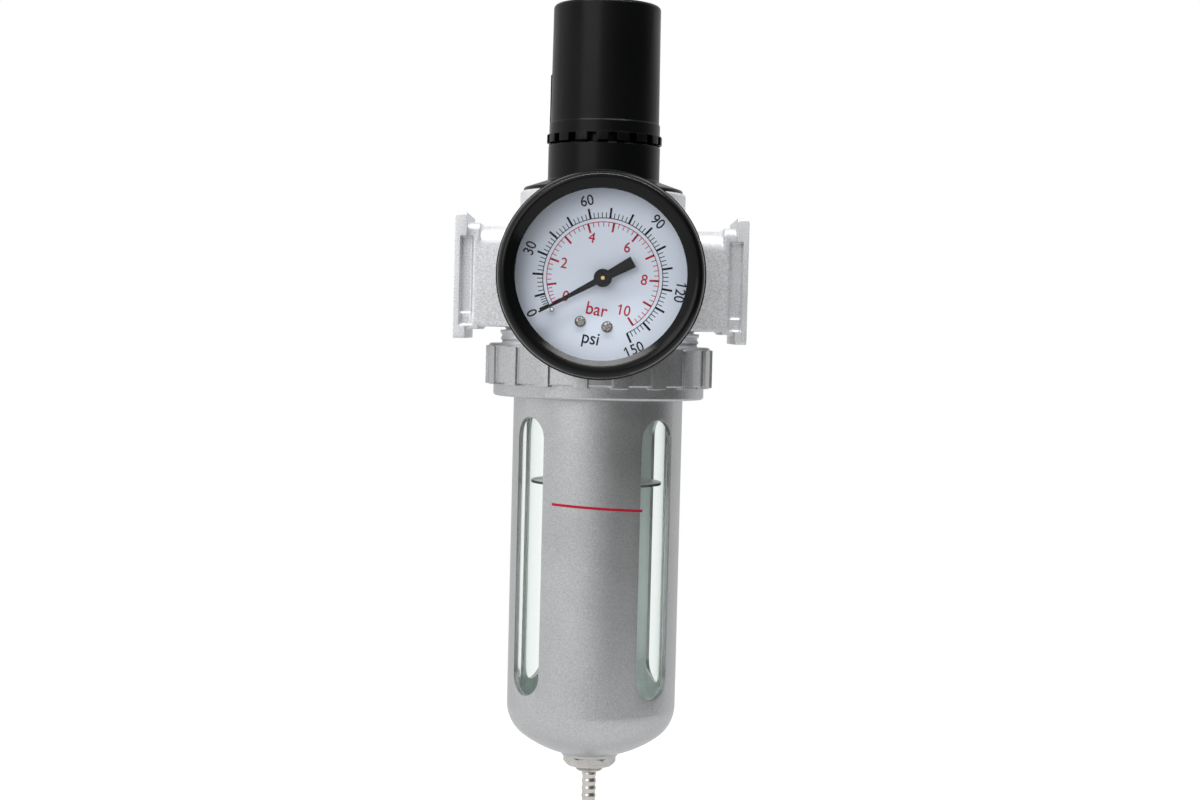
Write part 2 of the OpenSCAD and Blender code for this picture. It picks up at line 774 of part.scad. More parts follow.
module bonnet() {
    foot_r = housing_bore - seat_fit;
    slope_z = bonnet_foot + plate_lift;
    chamber_z = slope_z + plate_room - turret_bore;
    color("black") difference() {
        rotate_extrude() polygon(concat(
            [[0, bonnet_foot], [foot_r, bonnet_foot], [foot_r, housing_top], [bonnet_lip, housing_top]],
            arc([bonnet_lip - edge, housing_top + edge / 2], edge, 0, 60),
            arc([bonnet_r + edge, housing_top + bonnet_slope + edge], edge, 240, 180),
            arc([bonnet_r - edge, bonnet_top - edge], edge, 0, 90),
            [[turret_r, bonnet_top], [turret_r, turret_top - edge]],
            [[turret_r - edge, turret_top], [0, turret_top]]
        ));
        rotate_extrude() polygon([
            [0, bonnet_foot - over], [plate_room, bonnet_foot - over], [plate_room, slope_z],
            [turret_bore, chamber_z], [turret_bore, roof_z], [0, roof_z]
        ]);
        translate([-turret_bore - key_depth, -key_w / 2, chamber_z])
            cube([2 * (turret_bore + key_depth), key_w, roof_z - chamber_z]);
        disc(shank_d / 2 + run_fit, roof_z - over, turret_top + over);
        translate([0, 0, bonnet_top - vent_drop]) rotate([-90, 0, 0])
            cylinder(r = vent_r, h = bonnet_r + over);
    }
}

module knob_outline() {
    top_r = knob_r - knob_draft;
    rotate_extrude() polygon(concat(
        [[0, knob_z], [knob_r + rim_out, knob_z], [knob_r + rim_out, rim_top], [knob_r + band_out, rim_top]],
        [[knob_r + band_out, band_top - band_out], [knob_r, band_top]],
        arc([top_r - knob_edge, knob_top - knob_edge], knob_edge, 0, 90, 8),
        [[0, knob_top]]
    ));
}

module knob() {
    roof = knob_top - knob_roof;
    hub_z = drive_z + 1;
    color("black") difference() {
        union() {
            knob_outline();
            translate([-knob_r - rib_out, -rib_w / 2, band_top - band_out])
                cube([rib_out + knob_draft + edge, rib_w, rib_h + band_out]);
        }
        difference() {
            disc(knob_bore, knob_z - over, roof);
            disc(knob_hub_r, hub_z, roof + over);
        }
        hex(drive_af + clear, hub_z - over, drive_z + drive_len + 1);
        for (i = [0 : rim_notches - 1]) rotate(notch_phase + 360 * i / rim_notches)
            translate([knob_bore - over, -notch_w / 2, knob_z - over])
            cube([knob_r + rim_out + 2 * over - knob_bore, notch_w, notch_h + over]);
    }
}

module adjusting_screw() {
    color("silver") {
        rotate_extrude() polygon(concat(
            [[0, screw_z], [screw_d / 2 - screw_thread, screw_z]],
            thread(screw_d / 2, screw_z + edge, screw_collar_z, screw_pitch, screw_thread),
            [[screw_collar_d / 2, screw_collar_z], [screw_collar_d / 2, washer_z]],
            [[shank_d / 2, washer_z], [shank_d / 2, clip_z], [clip_groove_d / 2, clip_z]],
            [[clip_groove_d / 2, drive_z], [0, drive_z]]
        ));
        hex(drive_af, drive_z, drive_z + drive_len);
    }
}

module thrust_washer() {
    color("goldenrod") tube(screw_collar_d / 2 + 0.4, shank_d / 2 + seat_fit, washer_z, roof_z);
}

module screw_clip() {
    color("dimgray") difference() {
        tube(clip_groove_d / 2 + clip_w, clip_groove_d / 2 + seat_fit, clip_z, clip_z + clip_t);
        translate([0, -clip_groove_d / 3, clip_z - over])
            cube([clip_groove_d + clip_w, clip_groove_d * 2 / 3, clip_t + 2 * over]);
    }
}

module spring_nut() {
    key_r = turret_bore + key_depth - clear;
    color("goldenrod") difference() {
        union() {
            disc(nut_r, nut_z, nut_top);
            translate([-key_r, clear / 2 - key_w / 2, nut_z]) cube([2 * key_r, key_w - clear, nut_t]);
            disc(spring_boss_r, nut_z - spring_boss_h, nut_z);
        }
        disc(screw_d / 2 + run_fit, nut_z - spring_boss_h - over, nut_top + over);
    }
}

module range_spring() {
    color("silver") coil(spring_r, spring_wire, plate_top + seat_fit, nut_z - seat_fit, spring_turns);
}

module diaphragm_plate() {
    color("silver") difference() {
        union() {
            disc(plate_r, bonnet_foot, plate_top);
            disc(spring_boss_r, plate_top, plate_top + spring_boss_h);
        }
        disc(relief_neck_r + seat_fit, bonnet_foot - over, plate_top + spring_boss_h + over);
    }
}

module diaphragm() {
    color("dimgray") difference() {
        union() {
            disc(housing_bore - seat_fit, ledge_z, bonnet_foot);
            torus((plate_r + plate_room) / 2, bead_d, bonnet_foot);
        }
        disc(relief_neck_r + seat_fit, ledge_z - over, bonnet_foot + over);
    }
}

module relief_seat() {
    head_z = plate_top + spring_boss_h;
    color("goldenrod") difference() {
        union() {
            disc(2 * relief_neck_r, relief_z, ledge_z);
            disc(relief_neck_r, ledge_z, head_z);
            disc(1.5 * relief_neck_r, head_z, head_z + relief_t);
        }
        disc(relief_bore_r, relief_z - over, head_z + relief_t + over);
    }
}

module valve_stem() {
    tip_z = relief_z - seat_fit - stem_d / 2;
    color("goldenrod") {
        translate([0, 0, tip_z]) sphere(d = stem_d);
        disc(stem_d / 2, guide_z + over, tip_z);
        disc(valve_d / 2, valve_z, valve_seal_z);
    }
}

module valve_seal() {
    color("dimgray")
        tube(valve_d / 2 - 0.4, stem_d / 2 + seat_fit, valve_seal_z, valve_seal_z + valve_seal_t);
}

module valve_spring() {
    spring_low = guide_pocket_z + seat_fit;
    color("silver") coil(valve_spring_r, valve_wire, spring_low, valve_z - seat_fit, valve_turns);
}

// Screwed into the body: guides the valve stem below and carries the filter element on its stud
module valve_guide() {
    hole_at = (guide_r - guide_wall + stud_d / 2) / 2;
    hole_r = hole_at - stud_d / 2 - clear / 2;
    color("dimgray") difference() {
        union() {
            disc(guide_flange_d / 2, guide_z, cup_roof);
            disc(guide_r, cup_roof, guide_rim);
            disc(stud_d / 2, stud_end, guide_z);
        }
        difference() {
            disc(guide_r - guide_wall, guide_pocket_z, guide_rim + over);
            disc(guide_tube_r, guide_z, guide_rim + 2 * over);
        }
        disc(stem_d / 2 + run_fit, guide_z - 2 * over, guide_rim + over);
        for (a = [45 : 90 : 315]) rotate(a) translate([hole_at, 0, 0])
            disc(hole_r, guide_z - over, guide_pocket_z + over);
    }
}

module guide_ring() {
    room = guide_ring_d / 2 + seat_fit;
    color("black") torus(guide_r + room, guide_ring_d, cup_roof + room);
}

module deflector() {
    vane_from = element_d / 2 + clear;
    ring_bore = deflector_d / 2 - vane_t;
    color("white") {
        tube(element_d / 2 + vane_t, element_bore / 2, deflector_z, guide_z);
        tube(deflector_d / 2, ring_bore, guide_z - vane_h, guide_z);
        intersection() {
            tube(ring_bore + vane_t / 2, vane_from, guide_z - vane_h, guide_z);
            for (i = [0 : vanes - 1]) rotate(360 * i / vanes) translate([0, 0, guide_z - vane_h / 2])
                rotate([vane_tilt, 0, 0]) translate([vane_from - over, -vane_t / 2, -vane_h])
                cube([ring_bore + over - vane_from + over, vane_t, 2 * vane_h]);
        }
    }
}

module filter_element() {
    color("ivory") tube(element_d / 2, element_bore / 2, element_z, deflector_z);
}

module baffle() {
    hub_z = baffle_z - baffle_hub_h;
    color("black") difference() {
        union() {
            disc(baffle_d / 2, baffle_z, element_z);
            disc(stud_d / 2 + 3, hub_z, baffle_z);
            for (a = [0, 90]) rotate(a) translate([-baffle_d / 3, -baffle_t / 2, baffle_z - baffle_hub_h / 2])
                cube([baffle_d * 2 / 3, baffle_t, baffle_hub_h / 2]);
        }
        disc(stud_d / 2 + seat_fit, stud_end - seat_fit, element_z + over);
    }
}

module bowl_ring() {
    room = bowl_ring_d / 2 + seat_fit;
    color("black") torus(bowl_r + room, bowl_ring_d, bowl_top + room);
}

module bowl() {
    inset = guard_wall + bowl_gap;
    color("lightcyan", 0.4) difference() {
        union() {
            difference() {
                union() {
                    cup(inset, spigot_top);
                    disc(flange_r, bowl_flange_z, bowl_top);
                }
                cup(inset + bowl_wall, spigot_top + over);
            }
            disc(drain_head_d / 2 + edge, drain_pad_z - bowl_wall, drain_pad_z);
        }
        disc(drain_d / 2 + seat_fit, dome_z - dome_depth, drain_pad_z + over);
    }
}

// A sight window's cut, square to the guard's wall
module window() {
    translate([bowl_r, 0, window_z]) rotate([90, 0, 90]) linear_extrude(guard_r - bowl_r + over) {
        square([window_w, window_l - window_w], center = true);
        for (s = [-1, 1]) translate([0, s * (window_l - window_w) / 2]) circle(d = window_w);
    }
}

module bowl_guard() {
    color("silver") difference() {
        union() {
            difference() {
                union() {
                    cup(0, bowl_flange_z);
                    disc(flange_r, guard_flange_z, bowl_flange_z);
                }
                cup(guard_wall, bowl_flange_z + over);
            }
            disc(guard_pad_r, guard_foot, guard_foot + guard_wall);
        }
        disc(drain_d / 2 + clear, guard_foot - over, guard_foot + guard_wall + over);
        for (s = [-1, 1]) {
            rotate(-90 + guard_turn + s * window_angle) window();
            rotate(90 + guard_turn + s * back_window_angle) window();
        }
    }
}

module collar() {
    lip_r = guard_r + clear;
    band_r = collar_r - collar_band_in;
    color("silver") {
        rotate_extrude() polygon(concat(
            [[lip_r, collar_z]],
            arc([band_r - edge, collar_z + edge], edge, 270, 360),
            [[band_r, collar_step]],
            arc([collar_r - edge / 2, collar_step + edge / 2], edge / 2, 270, 360),
            arc([collar_r - edge, collar_top - edge], edge, 0, 90),
            [[collar_bore, collar_top], [collar_bore, guard_flange_z], [lip_r, guard_flange_z]]
        ));
        intersection() {
            tube(collar_r + tab_out, band_r - seat_fit, collar_step - tab_hang, collar_top - edge);
            for (i = [0 : tabs - 1]) rotate(tab_phase + 360 * i / tabs)
                translate([0, -tab_w / 2, collar_z])
                cube([collar_r + 2 * tab_out, tab_w, collar_top - collar_z]);
        }
    }
}

module drain_body() {
    color("silver") difference() {
        union() {
            rotate_extrude() polygon(concat(
                [[0, shank_end], [drain_d / 2 - drain_thread, shank_end]],
                thread(drain_d / 2, shank_end + drain_thread, guard_foot, drain_pitch, drain_thread),
                [[drain_d / 2, guard_foot], [drain_d / 2, drain_head_z], [0, drain_head_z]]
            ));
            disc(drain_head_d / 2, drain_head_z, drain_top);
        }
        disc(pocket_d / 2, shank_end - over, pocket_z);
        disc(drain_bore_r, pocket_z - over, drain_top + over);
    }
}

module drain_gasket() {
    color("black") tube(drain_head_d / 2 - 0.5, drain_d / 2 + seat_fit, drain_pad_z, drain_head_z);
}

module drain_nut() {
    corner = drain_nut_af / 2 / cos(30);
    bevel = corner - drain_nut_af / 2;
    color("silver") difference() {
        intersection() {
            hex(drain_nut_af, drain_nut_z, guard_foot);
            rotate_extrude() polygon([
                [0, drain_nut_z], [corner - 1.2 * bevel, drain_nut_z], [corner, drain_nut_z + bevel],
                [corner, guard_foot - bevel / 2], [corner - bevel, guard_foot], [0, guard_foot]
            ]);
        }
        disc(drain_d / 2 + seat_fit, drain_nut_z - over, guard_foot + over);
    }
}

// Hose tail below, shoulder for the spring, neck and cap above
module drain_stem() {
    seal_top = drain_top + drain_seal_t;
    steps = 8 * tail_ribs;
    ribs_z = shank_end - tail_ribs * rib_pitch;
    color("silver") difference() {
        union() {
            rotate_extrude() polygon(concat(
                [[0, shank_end - tail_len], [tail_d / 2 - tail_rib, shank_end - tail_len]],
                [for (i = [0 : steps])
                    [tail_d / 2 + tail_rib * (1 - cos(45 * i)) / 2, ribs_z + i * rib_pitch / 8]],
                [[tail_d / 2, drain_shoulder_z], [0, drain_shoulder_z]]
            ));
            disc(pocket_d / 2 - 2 * run_fit, drain_shoulder_z, drain_shoulder_z + shoulder_t);
            disc(drain_neck_d / 2, drain_shoulder_z, seal_top);
            disc(drain_seal_d / 2, seal_top, seal_top + drain_cap_t);
        }
        disc(tail_bore_r, shank_end - tail_len - over, drain_top - tail_bore_r);
        translate([0, 0, drain_top - 2 * tail_bore_r]) rotate([0, 90, 0])
            cylinder(r = tail_bore_r / 2, h = drain_neck_d, center = true);
    }
}

module drain_seal() {
    color("black") tube(drain_seal_d / 2, drain_neck_d / 2 + seat_fit, drain_top, drain_top + drain_seal_t);
}

module drain_spring() {
    spring_low = drain_shoulder_z + shoulder_t + seat_fit;
    color("silver") coil(drain_spring_r, drain_wire, spring_low, pocket_z - seat_fit, drain_turns);
}

// Gauge socket: thread and hex behind the case, block and arm inside for the tube
module gauge_stem() {
    color("goldenrod") on_gauge() difference() {
        union() {
            disc(gauge_bore_d / 2 - seat_fit, over - gauge_hex_l - gauge_bore_depth, -gauge_hex_l);
            hex(gauge_hex, -gauge_hex_l, 0);
            disc(stem_neck_r, 0, case_wall);
            translate([-stem_neck_r, -stem_neck_r, case_wall])
                cube([2 * stem_neck_r, 2 * stem_neck_r, back_plate_z - case_wall]);
            rotate(arm_angle) translate([0, -arm_w / 2, case_wall])
                cube([tube_r + tube_w, arm_w, back_plate_z - case_wall - seat_fit]);
            rotate(arm_angle) translate([tube_r - tube_w, -arm_w / 2, case_wall])
                cube([2 * tube_w, arm_w, tube_z + tube_h / 2 - case_wall]);
        }
        disc(sense_r, -gauge_hex_l - gauge_bore_depth, back_plate_z / 2);
    }
}

module gauge_case() {
    round_r = 2;
    color("black") on_gauge() rotate_extrude() polygon(concat(
        [[stem_neck_r + seat_fit, 0]],
        arc([case_r - round_r, round_r], round_r, 270, 360),
        [[case_r, case_depth], [case_bore, case_depth]],
        arc([case_r - round_r, round_r], round_r - case_wall, 360, 270),
        [[stem_neck_r + seat_fit, case_wall]]
    ));
}

module gauge_bezel() {
    crest = bezel_rise;
    crest_r = bezel_r - rear_rim - bezel_round;
    skirt_back = lens_front - bezel_skirt;
    opening_r = opening_d / 2;
    color("black") on_gauge() rotate_extrude() polygon(concat(
        [[case_r + seat_fit, skirt_back], [bezel_r - rear_rim, skirt_back], [bezel_r, skirt_back + rear_rim]],
        [[bezel_r, lens_front - crest], [bezel_r - rear_rim, lens_front - crest + rear_rim]],
        [for (a = [0 : 7.5 : 105]) [crest_r + bezel_round * cos(a), lens_front + crest * sin(a)]],
        [[opening_r, lens_front + bezel_lip], [opening_r, lens_front], [case_r + seat_fit, lens_front]]
    ));
}

module lens_gasket() {
    color("black") on_gauge() tube(case_r, case_bore - 0.5, case_depth, lens_back);
}

module gauge_lens() {
    color("white", 0.2) on_gauge() disc(lens_r, lens_back, lens_front);
}

// Moves to the pointer's axis in the gauge's frame
module at_hub() translate([hub_x, hub_y, 0]) children();

// Places of the two dial screws
module at_dial_screws() at_hub() rotate(dial_turn)
    for (s = [-1, 1]) translate([s * screw_spread, -screw_below, 0]) children();

module gauge_dial() {
    color("white") on_gauge() difference() {
        disc(case_bore - clear, dial_back, dial_front);
        at_hub() disc(2 * arbor_r, dial_back - over, dial_front + over);
        at_dial_screws() disc(dial_screw_r + seat_fit, dial_back - over, dial_front + over);
    }
}

module dial_screws() {
    head_h = dial_screw_r;
    color("silver") on_gauge() at_dial_screws() difference() {
        union() {
            disc(dial_screw_r, front_plate_z, dial_front);
            rotate_extrude() polygon(concat(
                [[0, dial_front], [2 * dial_screw_r, dial_front]],
                arc([2 * dial_screw_r - head_h / 2, dial_front + head_h / 2], head_h / 2, 0, 90),
                [[0, dial_front + head_h]]
            ));
        }
        for (a = [0, 90]) rotate(a + 45) translate([-dial_screw_r, -cross_w / 2, dial_front + head_h / 2])
            cube([2 * dial_screw_r, cross_w, head_h]);
    }
}

module stop_pin() {
    pin_top = pointer_z + pointer_t;
    color("goldenrod") on_gauge() at_hub() rotate(stop_angle) translate([stop_at, 0, 0]) {
        disc(stop_r, dial_front, pin_top);
        translate([0, 0, pin_top]) sphere(stop_r);
    }
}

module pointer() {
    color("black") on_gauge() at_hub() rotate(pointer_angle) difference() {
        union() {
            translate([0, 0, pointer_z]) linear_extrude(pointer_t) {
                polygon([
                    [0, -needle_root], [pointer_l, -needle_tip], [pointer_l, needle_tip], [0, needle_root]
                ]);
                polygon([
                    [0, -tail_w / 3], [-tail_l, -tail_w / 2], [-tail_l, tail_w / 2], [0, tail_w / 3]
                ]);
            }
            disc(hub_r, pointer_z - pointer_t, pointer_z + 2 * pointer_t);
        }
        disc(pivot_r + seat_fit, pointer_z - over, pointer_z + over + pointer_t);
    }
}

module pointer_arbor() {
    root = pinion_r - 1.25 * gear_module;
    tip = pinion_r + gear_module;
    pitch_angle = 360 / pinion_teeth;
    outline = [for (i = [0 : pinion_teeth - 1])
        each tooth((i + 0.5) * pitch_angle - 90, pinion_r, pinion_teeth, root, tip, pinion_slack)];
    color("goldenrod") on_gauge() at_hub() {
        disc(pivot_r, back_plate_z + seat_fit, back_plate_z + plate_gauge + clear);
        disc(arbor_r, back_plate_z + plate_gauge + clear, pointer_z - pointer_t - seat_fit);
        disc(pivot_r, pointer_z - pointer_t - seat_fit, pointer_z + 2 * pointer_t + clear / 2);
        translate([0, 0, gear_z - clear]) linear_extrude(sector_t + 2 * clear) polygon(outline);
    }
}

// Sector on its own arbor, with the tail that the link pulls
module sector_gear() {
    pitch_angle = 360 / sector_teeth;
    first = -ceil(sector_swing / pitch_angle) - 2;
    last = 2;
    root = sector_r - 1.25 * gear_module;
    rim_in = root - 1.4;
    a0 = 90 + first * pitch_angle - pitch_angle / 2;
    a1 = 90 + last * pitch_angle + pitch_angle / 2;
    tip = sector_r + 0.7 * gear_module;
    teeth = [for (i = [first : last])
        each tooth(90 + i * pitch_angle, sector_r, sector_teeth, root, tip, sector_slack)];
    color("goldenrod") on_gauge() translate([hub_x, sector_y, 0]) {
        translate([0, 0, gear_z]) linear_extrude(sector_t) {
            polygon(concat([root * [cos(a0), sin(a0)]], teeth, arc([0, 0], root, a1, a1, 1),
                arc([0, 0], rim_in, a1, a0, 12)));
            rotate((a0 + a1) / 2) translate([0, -1]) square([root - 0.5, 2]);
            circle(2);
            rotate(tail_angle) translate([0, -1]) square([sector_tail, 2]);
            rotate(tail_angle) translate([sector_tail, 0]) circle(1);
        }
        disc(arbor_r, back_plate_z + plate_gauge + clear, front_plate_z - clear);
        disc(pivot_r, back_plate_z + seat_fit, front_plate_z + plate_gauge - seat_fit);
        rotate(tail_angle) translate([sector_tail, 0, 0])
            disc(tail_pin_r, gear_z, link_z + link_t + seat_fit);
    }
}

module movement_plate(z0) {
    low = sector_y - plate_down;
    high = hub_y + plate_up;
    translate([hub_x - plate_left, low, z0]) cube([plate_left + plate_right, high - low, plate_gauge]);
}

module movement_back() {
    color("goldenrod") on_gauge() difference() {
        movement_plate(back_plate_z);
        for (y = [hub_y, sector_y]) translate([hub_x, y, 0])
            disc(pivot_r + run_fit, back_plate_z - over, back_plate_z + plate_gauge + over);
    }
}

module movement_front() {
    color("goldenrod") on_gauge() difference() {
        movement_plate(front_plate_z);
        translate([hub_x, hub_y, 0]) disc(arbor_r + run_fit, front_plate_z - over, dial_back + over);
        translate([hub_x, sector_y, 0]) disc(pivot_r + run_fit, front_plate_z - over, dial_back + over);
        at_dial_screws() disc(dial_screw_r + seat_fit, front_plate_z - over, dial_back + over);
    }
}

module movement_pillars() {
    places = [
        [hub_x - pillar_left, hub_y + pillar_up], [hub_x + pillar_right, hub_y + pillar_up],
        [hub_x - pillar_left, sector_y - pillar_down]
    ];
    color("goldenrod") on_gauge() for (p = places) translate(p)
        disc(pillar_r, back_plate_z + plate_gauge, front_plate_z);
}

// C-shaped tube, open into the socket's arm and closed by the lug at its free end
module bourdon_tube() {
    lug_from = link_at - 3;
    lug_w = tube_w - tube_wall;
    low = tube_z - tube_h / 2 + tube_wall / 2;
    color("goldenrod") on_gauge() difference() {
        union() {
            rotate(tube_to) rotate_extrude(angle = tube_from - tube_to)
                translate([tube_r, tube_z]) rounded_rect(tube_w, tube_h, tube_w / 3, tube_w / 3);
            rotate(lug_from) rotate_extrude(angle = tube_to + 1 - lug_from)
                translate([tube_r - lug_w / 2, low]) square([lug_w, link_z - seat_fit - low]);
        }
        rotate(tube_to + 2) rotate_extrude(angle = tube_from - tube_to)
            translate([tube_r, tube_z])
            square([tube_w - 2 * tube_wall, tube_h - 2 * tube_wall], center = true);
    }
}

module tube_link() {
    along = link_tip - link_pin;
    color("goldenrod") on_gauge() translate([0, 0, link_z]) linear_extrude(link_t) difference() {
        union() {
            for (p = [link_pin, link_tip]) translate(p) circle(link_end);
            translate(link_pin) rotate(atan2(along.y, along.x)) translate([0, -link_end / 2])
                square([norm(along), link_end]);
        }
        translate(link_pin) circle(tail_pin_r + run_fit);
    }
}

echo(least_gap_range_spring = coil_gap(spring_r, spring_wire, plate_top, nut_z, spring_turns));
echo(least_gap_valve_spring = coil_gap(valve_spring_r, valve_wire, guide_pocket_z, valve_z, valve_turns));
echo(least_gap_drain_spring =
    coil_gap(drain_spring_r, drain_wire, drain_shoulder_z + shoulder_t, pocket_z, drain_turns));

on_axis() body();
on_axis() rear_plug();
on_axis() bonnet();
on_axis() knob();
on_axis() adjusting_screw();
on_axis() thrust_washer();
on_axis() screw_clip();
on_axis() spring_nut();
on_axis() range_spring();
on_axis() diaphragm_plate();
on_axis() diaphragm();
on_axis() relief_seat();
on_axis() valve_stem();
on_axis() valve_seal();
on_axis() valve_spring();
on_axis() valve_guide();
on_axis() guide_ring();
on_axis() deflector();
on_axis() filter_element();
on_axis() baffle();
on_axis() bowl_ring();
on_axis() bowl();
on_axis() bowl_guard();
on_axis() collar();
on_axis() drain_body();
on_axis() drain_gasket();
on_axis() drain_nut();
on_axis() drain_stem();
on_axis() drain_seal();
on_axis() drain_spring();
on_axis() gauge_stem();
on_axis() gauge_case();
on_axis() gauge_bezel();
on_axis() lens_gasket();
on_axis() gauge_lens();
on_axis() gauge_dial();
on_axis() dial_screws();
on_axis() stop_pin();
on_axis() pointer();
on_axis() pointer_arbor();
on_axis() sector_gear();
on_axis() movement_back();
on_axis() movement_pillars();
on_axis() movement_front();
on_axis() bourdon_tube();
on_axis() tube_link();
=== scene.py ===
"""Finishes an air filter-regulator: paint, plastic, clear bowl, printed dial and small pieces."""

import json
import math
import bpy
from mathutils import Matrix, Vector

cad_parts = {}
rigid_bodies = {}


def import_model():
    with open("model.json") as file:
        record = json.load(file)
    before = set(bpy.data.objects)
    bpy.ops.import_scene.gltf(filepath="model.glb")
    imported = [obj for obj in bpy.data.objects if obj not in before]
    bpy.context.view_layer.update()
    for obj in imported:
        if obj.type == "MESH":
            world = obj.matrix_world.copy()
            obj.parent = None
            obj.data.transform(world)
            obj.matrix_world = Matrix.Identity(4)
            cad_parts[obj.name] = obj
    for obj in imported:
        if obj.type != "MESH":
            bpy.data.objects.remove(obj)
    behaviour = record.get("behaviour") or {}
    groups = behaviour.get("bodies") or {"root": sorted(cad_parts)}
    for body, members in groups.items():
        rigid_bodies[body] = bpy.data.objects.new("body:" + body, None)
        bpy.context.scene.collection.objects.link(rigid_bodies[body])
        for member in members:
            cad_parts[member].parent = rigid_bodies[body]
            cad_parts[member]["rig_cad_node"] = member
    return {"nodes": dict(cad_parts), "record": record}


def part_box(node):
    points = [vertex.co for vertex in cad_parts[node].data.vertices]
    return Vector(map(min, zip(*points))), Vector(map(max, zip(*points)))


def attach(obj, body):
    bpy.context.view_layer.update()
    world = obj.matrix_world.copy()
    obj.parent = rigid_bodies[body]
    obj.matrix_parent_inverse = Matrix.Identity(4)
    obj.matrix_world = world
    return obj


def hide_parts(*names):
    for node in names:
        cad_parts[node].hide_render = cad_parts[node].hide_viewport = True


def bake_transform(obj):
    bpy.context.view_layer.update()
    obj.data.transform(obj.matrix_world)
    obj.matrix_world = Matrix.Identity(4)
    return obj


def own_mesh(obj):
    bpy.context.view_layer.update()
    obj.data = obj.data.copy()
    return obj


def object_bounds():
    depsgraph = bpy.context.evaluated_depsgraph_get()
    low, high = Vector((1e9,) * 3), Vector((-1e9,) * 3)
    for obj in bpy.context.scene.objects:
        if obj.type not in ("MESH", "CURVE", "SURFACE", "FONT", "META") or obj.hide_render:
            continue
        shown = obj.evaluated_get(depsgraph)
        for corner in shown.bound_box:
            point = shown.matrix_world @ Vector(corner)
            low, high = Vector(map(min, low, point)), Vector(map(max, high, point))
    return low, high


bl_info = {
    "name": "Filter-Regulator Finish",
    "version": (1, 0, 0),
    "blender": (4, 5, 0),
    "location": "View3D > Sidebar > Regulator",
    "description": "Finishes the filter-regulator's pieces and sets up its studio",
    "category": "Object",
}

import bpy
from bpy.props import FloatProperty, FloatVectorProperty, PointerProperty
from mathutils import Quaternion, Vector

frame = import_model()
nodes = frame["nodes"]
cad_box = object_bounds()

MM = 0.001
TURN = 2 * math.pi
FRONT = Vector((0, -1, 0))
UP = Vector((0, 0, 1))
# Points closer than this are one point, and faces within this angle are one face
SAME_SPOT = 0.002 * MM
SAME_PLANE = math.radians(0.03)


def middle(node):
    """The middle of a CAD node's box."""
    low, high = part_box(node)
    return (low + high) / 2


axis_x = middle("collar").x
dial_face_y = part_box("gauge_dial")[0].y
hub = Vector((middle("pointer_arbor").x, dial_face_y, middle("pointer_arbor").z))
guard_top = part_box("collar")[0].z
guard_r = max(spot.co.x for spot in nodes["bowl_guard"].data.vertices if spot.co.z < guard_top) - axis_x


def color_value(name, description, default):
    """A colour that a user may change."""
    return FloatVectorProperty(
        name=name, description=description, subtype="COLOR", default=default, min=0, max=1
    )


def length_value(name, description, default):
    """A length that a user may change."""
    return FloatProperty(name=name, description=description, unit="LENGTH", default=default)


def angle_value(name, description, degrees):
    """An angle that a user may change."""
    return FloatProperty(
        name=name, description=description, subtype="ANGLE", default=math.radians(degrees)
    )


class FinishSettings(bpy.types.PropertyGroup):
    """Colours of the finishes"""

    silver: color_value("Silver", "Metallic paint on the collar and guard", (0.50, 0.507, 0.515))
    casting: color_value("Casting", "Metallic paint on the body", (0.74, 0.75, 0.77))
    black: color_value("Black", "Moulded knob and bonnet", (0.0028, 0.003, 0.0034))
    dial_white: color_value("Dial white", "Painted face of the dial", (0.80, 0.865, 0.98))
    print_red: color_value("Print red", "Inner scale and level line", (0.52, 0.018, 0.045))
    print_black: color_value("Print black", "Outer scale", (0.012, 0.012, 0.016))


class DialSettings(bpy.types.PropertyGroup):
    """Sizes of the printed dial"""

    turn: angle_value("Turn", "Turn of the print on its gauge", -10)
    zero: angle_value("Zero", "Angle of zero on the even part of the scales, before the turn", 225)
    rest: angle_value("Rest", "Angle by which the zero mark stands short of zero", 7.5)
    psi_step: angle_value("Psi step", "Angle of one psi", 280.1 / 150)
    bar_step: angle_value("Bar step", "Angle of one bar", 27.1)
    outer_r: length_value("Outer arc", "Radius of the outer scale's arc", 16.1 * MM)
    inner_r: length_value("Inner arc", "Radius of the inner scale's arc", 15.05 * MM)
    figure_h: length_value("Figures", "Height of the figures", 2.9 * MM)
    print_t: length_value("Print", "Thickness of the print", 0.03 * MM)


class StageSettings(bpy.types.PropertyGroup):
    """Sizes and places of the camera and floor"""

    lens: FloatProperty(name="Lens", description="Focal length", subtype="DISTANCE_CAMERA", default=57.9)
    distance: length_value("Distance", "Camera to the upright axis", 0.57)
    eye: length_value("Eye level", "Height of the camera", -0.0145)
    aim: length_value("Aim", "Height of the picture's middle on the axis", -0.0354)
    aside: length_value("Aside", "Camera to the right of the upright axis", 0.00055)
    roll: angle_value("Roll", "Roll of the camera", 1.4)
    floor_drop: length_value("Floor drop", "Room under the part for the bowl to be taken off", 0.06)
    floor_size: length_value("Floor size", "Width of the floor", 1.1)


def settings():
    """The scene's settings."""
    scene = bpy.context.scene
    return scene.regulator_finish, scene.regulator_dial, scene.regulator_stage


# Modelling by hand, one operator after another


def deselect():
    """Leaves edit mode and deselects everything."""
    if bpy.context.mode != "OBJECT":
        bpy.ops.object.mode_set(mode="OBJECT")
    bpy.ops.object.select_all(action="DESELECT")


def pick(piece):
    """Selects one piece alone and makes it the active one."""
    deselect()
    piece.select_set(True)
    bpy.context.view_layer.objects.active = piece


def edit_all():
    """Enters edit mode with the whole piece selected."""
    bpy.ops.object.mode_set(mode="EDIT")
    bpy.ops.mesh.select_all(action="SELECT")


def extrude(way):
    """Extrudes what is selected and moves it by a vector."""
    bpy.ops.mesh.extrude_region_move(TRANSFORM_OT_translate={"value": way})


def context_piece(name):
    """Names the object that an operator has just made."""
    piece = bpy.context.active_object
    piece.name = name
    piece.data.name = name
    return piece


